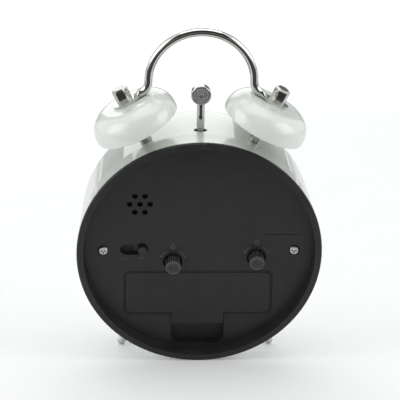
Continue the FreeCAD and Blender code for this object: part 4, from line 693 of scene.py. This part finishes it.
@dataclass(frozen=True)
class ClearLens:
    """Clear lens with faint wipe marks in its gloss."""

    name: str
    roughness: float = 0.01

    def build(self) -> bpy.types.Material:
        """Builds the material."""
        material, nodes, shader, place = fresh_material(self.name)
        streaks = use_group(nodes, EFFECTS.streaks, Vector=place, Scale=120.0)
        shader.inputs["Base Color"].default_value = (0.98, 0.99, 0.99, 1.0)
        shader.inputs["Transmission Weight"].default_value = 1.0
        shader.inputs["IOR"].default_value = 1.46
        uneven_gloss(nodes, shader, streaks.outputs["Mask"], self.roughness * 0.3, self.roughness * 2.0)
        return material


@dataclass(frozen=True)
class PrintedDial:
    """Matt dial paper: a warm white with a faint radial sheen and fibre grain."""

    name: str
    colour: Colour = (0.86, 0.86, 0.82)
    centre_mm: tuple[float, float, float] = (0.0, 0.0, 38.0)
    ring_pitch: float = 0.0006

    def build(self) -> bpy.types.Material:
        """Builds the material."""
        material, nodes, shader, place = fresh_material(self.name)
        local = centred(nodes, place, self.centre_mm, (0.0, 0.0, 1.0))
        rings = use_group(nodes, EFFECTS.rings, Vector=local, Pitch=self.ring_pitch)
        grain = use_group(nodes, EFFECTS.grain, Vector=place, Scale=1800.0)
        light = shaded(self.colour, 1.03)
        nodes.feed(shader.inputs["Base Color"], nodes.mix(grain.outputs["Shade"], self.colour, light))
        uneven_gloss(nodes, shader, rings.outputs[0], 0.5, 0.62)
        raise_bump(nodes, shader, grain.outputs["Height"], 0.000008)
        return material


@dataclass(frozen=True)
class WoundWire:
    """Lacquered copper wire in close turns along an axis, with painted shade between the turns."""

    name: str
    axis: tuple[float, float, float]
    wire: float = 0.00018

    def build(self) -> bpy.types.Material:
        """Builds the material."""
        material, nodes, shader, place = fresh_material(self.name)
        local = centred(nodes, place, (0.0, 0.0, 0.0), self.axis)
        split = nodes.add("ShaderNodeSeparateXYZ")
        nodes.feed(split.inputs[0], local)
        turns = nodes.math("DIVIDE", split.outputs["Z"], self.wire)
        wave = nodes.math("ABSOLUTE", nodes.math("SINE", nodes.math("MULTIPLY", turns, math.pi)))
        # Painted shade: the colour darkens between the turns and is the copper's own on their crests.
        nodes.feed(shader.inputs["Base Color"], nodes.mix(wave, (0.25, 0.07, 0.02), (0.72, 0.3, 0.13)))
        shader.inputs["Metallic"].default_value = 0.85
        uneven_gloss(nodes, shader, wave, 0.5, 0.28)
        raise_bump(nodes, shader, wave, 0.00006)
        return material


@dataclass(frozen=True)
class CellWrap:
    """The cell's plastic sleeve, one plain band at its nub end over a dark body, and its nub."""

    name: str
    start: float
    nub: float = 0.0258
    edge: float = 0.0002
    body: Colour = (0.05, 0.055, 0.06)
    band: Colour = (0.55, 0.4, 0.12)

    def build(self) -> bpy.types.Material:
        """Builds the material."""
        material, nodes, shader, place = fresh_material(self.name)
        split = nodes.add("ShaderNodeSeparateXYZ")
        nodes.feed(split.inputs[0], place)
        banded = nodes.ramp(split.outputs["X"], self.start, self.start + self.edge)
        tip = nodes.ramp(split.outputs["X"], self.nub, self.nub + self.edge)
        grain = use_group(nodes, EFFECTS.grain, Vector=place, Scale=900.0)
        colour = nodes.mix(banded, self.body, self.band)
        colour = nodes.mix(tip, colour, (0.6, 0.6, 0.6))
        nodes.feed(shader.inputs["Base Color"], colour)
        nodes.feed(shader.inputs["Metallic"], tip)
        uneven_gloss(nodes, shader, grain.outputs["Shade"], 0.22, 0.34)
        raise_bump(nodes, shader, grain.outputs["Height"], 0.000006)
        return material


@dataclass(frozen=True)
class Lacquered:
    """A lacquered circuit board with copper tracks showing through."""

    name: str

    def build(self) -> bpy.types.Material:
        """Builds the material."""
        material, nodes, shader, place = fresh_material(self.name)
        cells = nodes.add("ShaderNodeTexVoronoi", feature="DISTANCE_TO_EDGE")
        nodes.feed(cells.inputs["Vector"], place)
        cells.inputs["Scale"].default_value = 420.0
        track = nodes.ramp(cells.outputs["Distance"], 0.06, 0.09)
        nodes.feed(shader.inputs["Base Color"], nodes.mix(track, (0.03, 0.2, 0.08), (0.012, 0.09, 0.04)))
        uneven_gloss(nodes, shader, track, 0.28, 0.4)
        raise_bump(nodes, shader, track, 0.00003)
        return material


@dataclass(frozen=True)
class Ink:
    """Printing ink or hand paint, also the door's painted shade line: an even colour with a slightly broken
    gloss.
    """

    name: str
    colour: Colour
    roughness: float = 0.45

    def build(self) -> bpy.types.Material:
        """Builds the material."""
        material, nodes, shader, place = fresh_material(self.name)
        grain = use_group(nodes, EFFECTS.grain, Vector=place, Scale=2200.0)
        light = shaded(self.colour, 1.15, 0.004)
        nodes.feed(shader.inputs["Base Color"], nodes.mix(grain.outputs["Shade"], self.colour, light))
        uneven_gloss(nodes, shader, grain.outputs["Shade"], self.roughness * 0.85, self.roughness * 1.15)
        raise_bump(nodes, shader, grain.outputs["Height"], 0.000004)
        return material


def dress(names: tuple[str, ...], finish: object) -> None:
    """Gives a finish to CAD nodes, in every material slot that they have.

    Args:
        names: The nodes.
        finish: A finish with a build method.
    """
    material = finish.build()
    for name in names:
        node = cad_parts[name]
        if not node.material_slots:
            node.data.materials.append(material)
        for place in node.material_slots:
            place.material = material
        LOG.info("dressed %s in %s", name, material.name)


def settle(piece: bpy.types.Object, finish: object, body: str) -> None:
    """Dresses a new piece and lets it ride on its body.

    Args:
        piece: The new object.
        finish: A finish with a build method.
        body: The CAD body that carries it.
    """
    piece.data.materials.clear()
    piece.data.materials.append(finish.build())
    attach(piece, body)
    LOG.info("placed %s on %s, %d faces", piece.name, body, len(piece.data.polygons))


# Sub-assemblies

BLACK: Colour = (0.0165, 0.0175, 0.0168)
PALE: Colour = (0.76, 0.80, 0.745)


@dataclass
class RearCover:
    """The black back: door with its painted shade line, knobs, switch, screws and raised marks painted light
    as a highlight.
    """

    plate_z: float = 6.7
    alarm_knob: tuple[float, float] = (12.2, -7.2)
    time_knob: tuple[float, float] = (-27.25, -5.0)
    arc_radius: float = 6.3
    arc_start_deg: float = 28.0
    arc_end_deg: float = 66.0
    tip_length: float = 0.9
    tip_spread: float = 0.6
    bell_rise: float = 8.6
    bell_size: float = 2.2
    clock_rise: float = 8.2
    clock_radius: float = 1.1
    mark_width: float = 0.44
    mark_height: float = 0.16
    on_x: float = 35.0
    off_x: float = 27.0
    word_y: float = -5.1
    word_size: float = 1.9
    door_half: float = 35.2
    door_top: float = -12.1
    door_foot: float = -35.4
    door_corner: float = 3.2
    tab_half: float = 13.3
    tab_foot: float = -37.5
    shade_line_width: float = 0.7
    shade_line_height: float = 0.02

    def door_outline(self) -> np.ndarray:
        """Gives the path of the painted shade line, just outside the battery door's gap, from the tab round
        over its top.
        """
        middle = self.door_half - self.door_corner
        right = np.vstack([
            [[self.tab_half, self.tab_foot], [self.tab_half, self.door_foot]],
            arc_path((middle, self.door_foot + self.door_corner), self.door_corner, 180.0, 90.0, 8),
            arc_path((middle, self.door_top - self.door_corner), self.door_corner, 90.0, 0.0, 8)])
        return np.vstack([right, right[::-1] * np.array([-1.0, 1.0])])

    def turn_marks(self, centre: tuple[float, float]) -> list[tuple[np.ndarray, np.ndarray]]:
        """Makes the two arcs beside a knob, each with an arrow's tip.

        Args:
            centre: The knob's axis, in the clock's x and y.

        Returns:
            The ridges' vertices and quads.
        """
        parts = []
        for turn in (1.0, -1.0):
            path = arc_path(centre, self.arc_radius, self.arc_start_deg * turn, self.arc_end_deg * turn)
            parts.append(self.ridge(path))
            tip = path[-1]
            ahead = (path[-1] - path[-2]) / np.linalg.norm(path[-1] - path[-2])
            side = np.array([-ahead[1], ahead[0]])
            for way in (1.0, -1.0):
                back = tip - ahead * self.tip_length + side * self.tip_spread * way
                parts.append(self.ridge(line_path(tip, back)))
        return parts

    def ridge(self, path: np.ndarray, closed: bool = False) -> tuple[np.ndarray, np.ndarray]:
        """Makes one raised line on the plate."""
        return raised_line(path, self.mark_width, self.mark_height, self.plate_z, Face.REAR, closed)

    def bell_sign(self, centre: tuple[float, float], size: float) -> list[tuple[np.ndarray, np.ndarray]]:
        """Draws a small bell: a dome that flares to its lip, and a clapper under it.

        The half outline's width grows with the square root of the drop from the crown, and
        flares by a fifth over the last quarter.

        Args:
            centre: The sign's middle, in the clock's x and y.
            size: The sign's height.

        Returns:
            The ridges' vertices and quads.
        """
        drop = np.linspace(0.0, 1.0, 12)
        half = 0.38 * np.sqrt(drop) + 0.2 * np.clip((drop - 0.75) / 0.25, 0.0, 1.0)
        right = np.stack([half, 0.5 - drop], axis=1)
        left = right[::-1] * np.array([-1.0, 1.0])
        outline = np.vstack([right, left[:-1]]) * size + np.array(centre)
        clapper = arc_path((centre[0], centre[1] - size * 0.62), size * 0.09, 0.0, 330.0, 8)
        return [self.ridge(outline, closed=True), self.ridge(clapper, closed=True)]

    def clock_sign(self, centre: tuple[float, float], radius: float) -> list[tuple[np.ndarray, np.ndarray]]:
        """Draws a small clock: a circle with two hands."""
        ring = arc_path(centre, radius, 0.0, 345.0)
        up = line_path(centre, (centre[0], centre[1] + radius * 0.7))
        across = line_path(centre, (centre[0] - radius * 0.5, centre[1]))
        return [self.ridge(ring, closed=True), self.ridge(up), self.ridge(across)]

    def build(self) -> None:
        """Makes the marks and dresses the back."""
        dress(("rear_cover",), Moulding("satin_black_back", BLACK, 0.42, specular=0.4))
        dress(("battery_door",), Moulding("satin_black_door", BLACK, 0.4, specular=0.4))
        for name, centre in (("alarm_knob", self.alarm_knob), ("time_knob", self.time_knob)):
            dress((name,), Fluted("fluted_" + name, (*centre, 0.0)))
        dress(("switch_slider",), Moulding("satin_black_button", (0.014, 0.014, 0.014), 0.38, worn=0.5))
        dress(("cover_screws",), Plated("bright_screws", (0.52, 0.53, 0.5), 0.16, 0.000006, 1500.0))
        parts = self.turn_marks(self.alarm_knob) + self.turn_marks(self.time_knob)
        parts += self.bell_sign((self.alarm_knob[0], self.alarm_knob[1] + self.bell_rise), self.bell_size)
        parts += self.clock_sign((self.time_knob[0], self.time_knob[1] + self.clock_rise), self.clock_radius)
        points, faces = gathered(parts)
        marks = mesh_object("back_marks", POSE.points(points), faces, smooth=False)
        # Painted highlight: the raised marks and the switch words are painted paler than the black back, as
        # the light their ridges catch.
        mark_highlight_finish = Moulding("raised_marks_painted_highlight", (0.08, 0.081, 0.078), 0.34, worn=0.2, dusty=0.0)
        settle(marks, mark_highlight_finish, "case")
        words = lettering("switch_words", [("ON", self.on_x, self.word_y), ("OFF", self.off_x, self.word_y)],
                          self.word_size, self.plate_z, Face.REAR, self.mark_height)
        settle(words, mark_highlight_finish, "case")
        # Painted shade: a thin near-black strip just outside the door's gap stands for the shadow in the
        # gap.
        groove_painted_shade = raised_line(self.door_outline(), self.shade_line_width, self.shade_line_height, self.plate_z,
                             Face.REAR)
        line = mesh_object("door_gap_shade_line", POSE.points(groove_painted_shade[0]), groove_painted_shade[1], smooth=False)
        settle(line, Ink("groove_shade", (0.002, 0.002, 0.002), 0.8), "case")


@dataclass
class CaseShell:
    """The enamelled shell on its two feet."""

    foot_finish: Plated = Plated("plated_feet")

    def build(self) -> None:
        """Dresses the shell, feet and their inner nuts."""
        dress(("case_shell",), Enamel("gloss_enamel_shell", PALE))
        dress(("left_foot", "right_foot"), self.foot_finish)
        dress(("foot_nuts", "post_nuts"), Brushed("zinc_nuts", (0.7, 0.7, 0.68)))


@dataclass
class BellSet:
    """Both bells with their posts, cap nuts and the carrying handle."""

    bell_finish: Enamel = Enamel("gloss_enamel_bells", (0.79, 0.83, 0.775))

    def build(self) -> None:
        """Dresses the bells and what holds them."""
        dress(("left_bell", "right_bell"), self.bell_finish)
        dress(("bell_posts",), Plated("plated_posts", (0.5, 0.5, 0.47), 0.07, 0.000002, 900.0))
        dress(("cap_nuts",), Plated("plated_cap_nuts", (0.46, 0.46, 0.43), 0.1, 0.000004, 900.0))
        dress(("handle",), Plated("plated_handle"))


@dataclass
class HammerDrive:
    """The hammer between the bells and the motor that swings it."""

    head_mm: tuple[float, float, float] = (0.0, 74.5, 17.0)

    def build(self) -> None:
        """Dresses the hammer and its drive."""
        forward = (0.0, 0.0, 1.0)
        dress(("hammer_head",), Turned("turned_hammer_head", self.head_mm, forward))
        dress(("hammer_rod",), Plated("plated_hammer_rod", (0.6, 0.6, 0.57), 0.07))
        dress(("hammer_lever", "hammer_pin"), Brushed("nickel_lever", (0.62, 0.61, 0.58)))
        dress(("motor_mount",), Moulding("grey_mount", (0.2, 0.2, 0.2), 0.5))
        dress(("bell_motor",), Brushed("drawn_motor_can", (0.6, 0.6, 0.6), 0.3))
        dress(("motor_crank",), Moulding("white_crank", (0.75, 0.75, 0.72), 0.42))


@dataclass
class DialFront:
    """Bezel, lens, dial with its print, and the four hands."""

    dial_z: float = 38.0
    print_height: float = 0.06
    numeral_radius: float = 34.3
    numeral_size: float = 8.6
    track_outer: float = 42.6
    bars: int = 60
    minute_length: float = 1.7
    minute_half: float = 0.14
    hour_length: float = 2.8
    hour_half: float = 0.42

    def minute_track(self) -> bpy.types.Object:
        """Makes the bars of the minute track.

        The bars stand at even parts of a turn. Every fifth one is longer and three times as
        wide. Each is a low block with four corners at the dial and four at its top.

        Returns:
            The track as a mesh object.
        """
        index = np.arange(self.bars)
        angle = index * (2.0 * math.pi / self.bars)
        major = index % 5 == 0
        half = np.where(major, self.hour_half, self.minute_half)
        inner = self.track_outer - np.where(major, self.hour_length, self.minute_length)
        out = np.stack([np.sin(angle), np.cos(angle)], axis=1)
        side = np.stack([out[:, 1], -out[:, 0]], axis=1)
        outer = np.full(self.bars, self.track_outer)
        corners = []
        for rise in (-SUNK_MM, self.print_height):
            for reach, way in ((inner, -1.0), (inner, 1.0), (outer, 1.0), (outer, -1.0)):
                flat = out * reach[:, None] + side * (half * way)[:, None]
                corners.append(np.column_stack([flat, np.full(self.bars, self.dial_z + rise)]))
        points = np.stack(corners, axis=1).reshape(-1, 3)
        block = np.array([[4, 7, 6, 5], [0, 4, 5, 1], [1, 5, 6, 2], [2, 6, 7, 3], [3, 7, 4, 0],
                          [0, 1, 2, 3]])[:, ::-1]
        faces = (block[None, :, :] + (index * 8)[:, None, None]).reshape(-1, 4)
        return mesh_object("minute_track", POSE.points(points), faces, smooth=False)

    def build(self) -> None:
        """Makes the print and dresses the front."""
        ink = Ink("dial_ink", (0.012, 0.012, 0.013))
        settle(self.minute_track(), ink, "case")
        hours = np.radians(np.arange(1, 13) * 30.0)
        words = [(str(hour), self.numeral_radius * math.sin(turn), self.numeral_radius * math.cos(turn))
                 for hour, turn in zip(range(1, 13), hours)]
        numerals = lettering("dial_numerals", words, self.numeral_size, self.dial_z, Face.FRONT,
                             self.print_height)
        settle(numerals, ink, "case")
        dress(("dial",), PrintedDial("dial_paper"))
        dress(("dial_spacer",), Moulding("white_spacer", (0.78, 0.78, 0.75), 0.45))
        dress(("dial_frame",), Moulding("grey_frame", (0.3, 0.3, 0.3), 0.5))
        dress(("bezel_ring",), Plated("plated_bezel"))
        dress(("lens",), ClearLens("clear_lens"))
        dress(("hour_hand", "minute_hand"), Ink("black_hands", (0.01, 0.01, 0.011), 0.35))
        dress(("second_hand",), Ink("red_seconds_hand", (0.5, 0.02, 0.015), 0.35))
        dress(("alarm_hand",), Brushed("grey_alarm_hand", (0.4, 0.4, 0.41), 0.35))


@dataclass
class Movement:
    """The quartz movement, the alarm switch, and the battery bay with its cell."""

    band_x: float = 0.012

    def build(self) -> None:
        """Dresses everything inside the back."""
        dress(("movement_base", "movement_cover"), Moulding("ivory_movement", (0.62, 0.61, 0.55), 0.5))
        dress(("movement_bridge",), Moulding("clear_grey_bridge", (0.45, 0.47, 0.48), 0.35))
        dress(("first_wheel", "third_wheel", "motion_wheel", "hour_wheel", "alarm_wheel"),
              Moulding("white_wheels", (0.76, 0.76, 0.73), 0.4))
        dress(("seconds_wheel", "centre_wheel", "minute_tube"),
              Moulding("cream_wheels", (0.72, 0.68, 0.55), 0.4))
        dress(("time_setter", "alarm_setter"), Moulding("white_setters", (0.7, 0.7, 0.67), 0.4))
        dress(("rotor",), Brushed("dark_magnet", (0.06, 0.06, 0.065), 0.4, 0.6))
        dress(("stator",), Brushed("stator_sheet", (0.5, 0.5, 0.52), 0.35))
        dress(("coil",), WoundWire("copper_winding", (0.0, 1.0, 0.0)))
        dress(("movement_board", "circuit_board"), Lacquered("green_board"))
        dress(("quartz_crystal",), Brushed("crystal_can", (0.7, 0.7, 0.7), 0.25))
        dress(("movement_screws",), Plated("movement_screw_steel", (0.68, 0.68, 0.66), 0.2, 0.00001, 1500.0))
        dress(("battery_tray", "switch_body"), Moulding("grey_tray", (0.12, 0.12, 0.12), 0.5))
        dress(("sounder",), Moulding("black_sounder", (0.01, 0.01, 0.01), 0.45))
        dress(("aa_cell",), CellWrap("cell_sleeve", self.band_x))
        dress(("positive_contact", "negative_contact"), Brushed("nickel_contacts", (0.7, 0.69, 0.65), 0.28))


# Camera, light and floor


@dataclass
class Softbox:
    """One broad lamp."""

    name: str
    place: tuple[float, float, float]
    width: float
    height: float
    watts: float
    target: tuple[float, float, float] = (0.0, 0.0, 0.08)

    def build(self) -> None:
        """Hangs the lamp so that it faces its target."""
        data = bpy.data.lights.new(self.name, "AREA")
        data.shape = "RECTANGLE"
        data.size = self.width
        data.size_y = self.height
        data.energy = self.watts
        lamp = bpy.data.objects.new(self.name, data)
        lamp.location = self.place
        way = Vector(self.target) - Vector(self.place)
        lamp.rotation_euler = way.to_track_quat("-Z", "Y").to_euler()
        bpy.context.scene.collection.objects.link(lamp)


@dataclass
class Flag:
    """A card that only mirrors see, so that plating and enamel show darker bands."""

    name: str
    place: tuple[float, float, float]
    width: float
    height: float
    shade: float = 0.05
    target: tuple[float, float, float] = (0.0, 0.0, 0.08)

    def build(self) -> None:
        """Hangs the card so that it faces its target."""
        way = Vector(self.target) - Vector(self.place)
        turn = np.array(way.to_track_quat("Z", "Y").to_matrix())
        flat = np.array([[-1, -1, 0], [1, -1, 0], [1, 1, 0], [-1, 1, 0]], dtype=float)
        flat *= np.array([self.width / 2, self.height / 2, 0.0])
        points = flat @ turn.T + np.array(self.place)
        card = mesh_object(self.name, points, np.array([[0, 1, 2, 3]]), smooth=False)
        material = bpy.data.materials.new(self.name)
        material.use_nodes = True
        shader = material.node_tree.nodes["Principled BSDF"]
        shader.inputs["Base Color"].default_value = (self.shade, self.shade, self.shade, 1.0)
        shader.inputs["Roughness"].default_value = 1.0
        card.data.materials.append(material)
        card.visible_camera = False
        card.visible_diffuse = False
        card.visible_shadow = False
        card.visible_transmission = False


LAMPS = (
    Softbox("overhead", (0.0, 0.1, 1.3), width=1.3, height=1.3, watts=5.0),
    Softbox("left_side", (1.25, 0.35, 0.6), width=0.9, height=0.9, watts=5.0),
    Softbox("right_side", (-1.25, 0.35, 0.6), width=0.9, height=0.9, watts=4.5),
    Softbox("front_side", (0.1, -1.1, 0.7), width=0.9, height=0.7, watts=3.0),
)
CARDS = (
    Flag("behind_camera", (0.0, 1.7, 1.15), width=3.0, height=2.5),
    Flag("before_dial", (0.0, -1.7, 1.15), width=3.0, height=2.5, shade=0.35),
    Flag("floor_card", (0.0, 0.87, 0.004), width=1.5, height=1.44, target=(0.0, 0.87, 1.0)),
)


@dataclass
class Studio:
    """The pale floor, the white surround, the soft lamps, the mirrors' cards and the camera."""

    camera_mm: tuple[float, float, float] = (38.747, 405.262, -755.846)
    forward: tuple[float, float, float] = (-0.04544, -0.44525, 0.89425)
    upward: tuple[float, float, float] = (-0.00119, 0.89520, 0.44566)
    focal_px: float = 1835.1
    image_px: float = 400.0
    floor_half: float = 4.0
    surround: float = 1.0
    fill: float = 0.5
    floor_colour: Colour = (0.86, 0.87, 0.875)
    floor_lift: float = 0.135
    far_lift: float = 0.65
    lift_start: float = 0.6
    lift_end: float = 1.8

    def camera(self) -> None:
        """Sets the camera where the photograph was taken from."""
        data = bpy.data.cameras.new("photo_camera")
        data.sensor_width = 36.0
        data.lens = data.sensor_width * self.focal_px / self.image_px
        data.clip_start = 0.01
        data.clip_end = 50.0
        holder = bpy.data.objects.new("photo_camera", data)
        ahead = POSE.direction(self.forward).normalized()
        up = POSE.direction(self.upward)
        right = ahead.cross(up).normalized()
        up = right.cross(ahead)
        turn = Matrix((right, up, -ahead)).transposed().to_4x4()
        place = POSE.points(np.array([self.camera_mm]))[0]
        holder.matrix_world = Matrix.Translation(Vector(place)) @ turn
        bpy.context.scene.collection.objects.link(holder)
        bpy.context.scene.camera = holder

    def world(self) -> None:
        """Makes the surround: white to the eye and to mirrors, plainer as a light."""
        world = bpy.data.worlds.new("surround")
        world.use_nodes = True
        bpy.context.scene.world = world
        nodes = Nodes(world.node_tree)
        seen = world.node_tree.nodes["Background"]
        path = nodes.add("ShaderNodeLightPath")
        mirror = nodes.math("MAXIMUM", path.outputs["Is Glossy Ray"], path.outputs["Is Transmission Ray"])
        direct = nodes.math("MAXIMUM", path.outputs["Is Camera Ray"], mirror)
        seen.inputs["Color"].default_value = (1.0, 1.0, 1.0, 1.0)
        nodes.feed(seen.inputs["Strength"], nodes.ramp(direct, 0.0, 1.0, self.fill, self.surround))

    def floor(self) -> None:
        """Lays the floor, which keeps the clock's shadow and grows paler to the eye far off."""
        corners = np.array([[-1, -1, 0], [1, -1, 0], [1, 1, 0], [-1, 1, 0]], dtype=float)
        points = corners * self.floor_half
        sheet = mesh_object("floor", points, np.array([[0, 1, 2, 3]]), smooth=False)
        material, nodes, shader, place = fresh_material("pale_floor")
        grain = use_group(nodes, EFFECTS.grain, Vector=place, Scale=600.0)
        light = shaded(self.floor_colour, 1.01)
        nodes.feed(shader.inputs["Base Color"], nodes.mix(grain.outputs["Shade"], self.floor_colour, light))
        shader.inputs["Roughness"].default_value = 0.9
        shader.inputs["Specular IOR Level"].default_value = 0.1
        shader.inputs["Emission Color"].default_value = (1.0, 1.0, 1.0, 1.0)
        distance = nodes.add("ShaderNodeVectorMath", operation="LENGTH")
        nodes.feed(distance.inputs[0], place)
        lift = nodes.ramp(distance.outputs["Value"], self.lift_start, self.lift_end,
                          self.floor_lift, self.far_lift)
        path = nodes.add("ShaderNodeLightPath")
        nodes.feed(shader.inputs["Emission Strength"], nodes.math(
            "MULTIPLY", path.outputs["Is Camera Ray"], lift))
        sheet.data.materials.append(material)

    def build(self) -> None:
        """Builds the whole studio."""
        self.camera()
        self.world()
        self.floor()
        for hung in LAMPS + CARDS:
            hung.build()
        bpy.context.scene.view_settings.view_transform = "Standard"


def main() -> None:
    """Builds every sub-assembly in order."""
    logging.basicConfig(level=logging.INFO, format="%(message)s")
    for part in (Studio(), RearCover(), CaseShell(), BellSet(), HammerDrive(), DialFront(), Movement()):
        part.build()
        LOG.info("built %s", type(part).__name__)


if __name__ == "__main__":
    main()
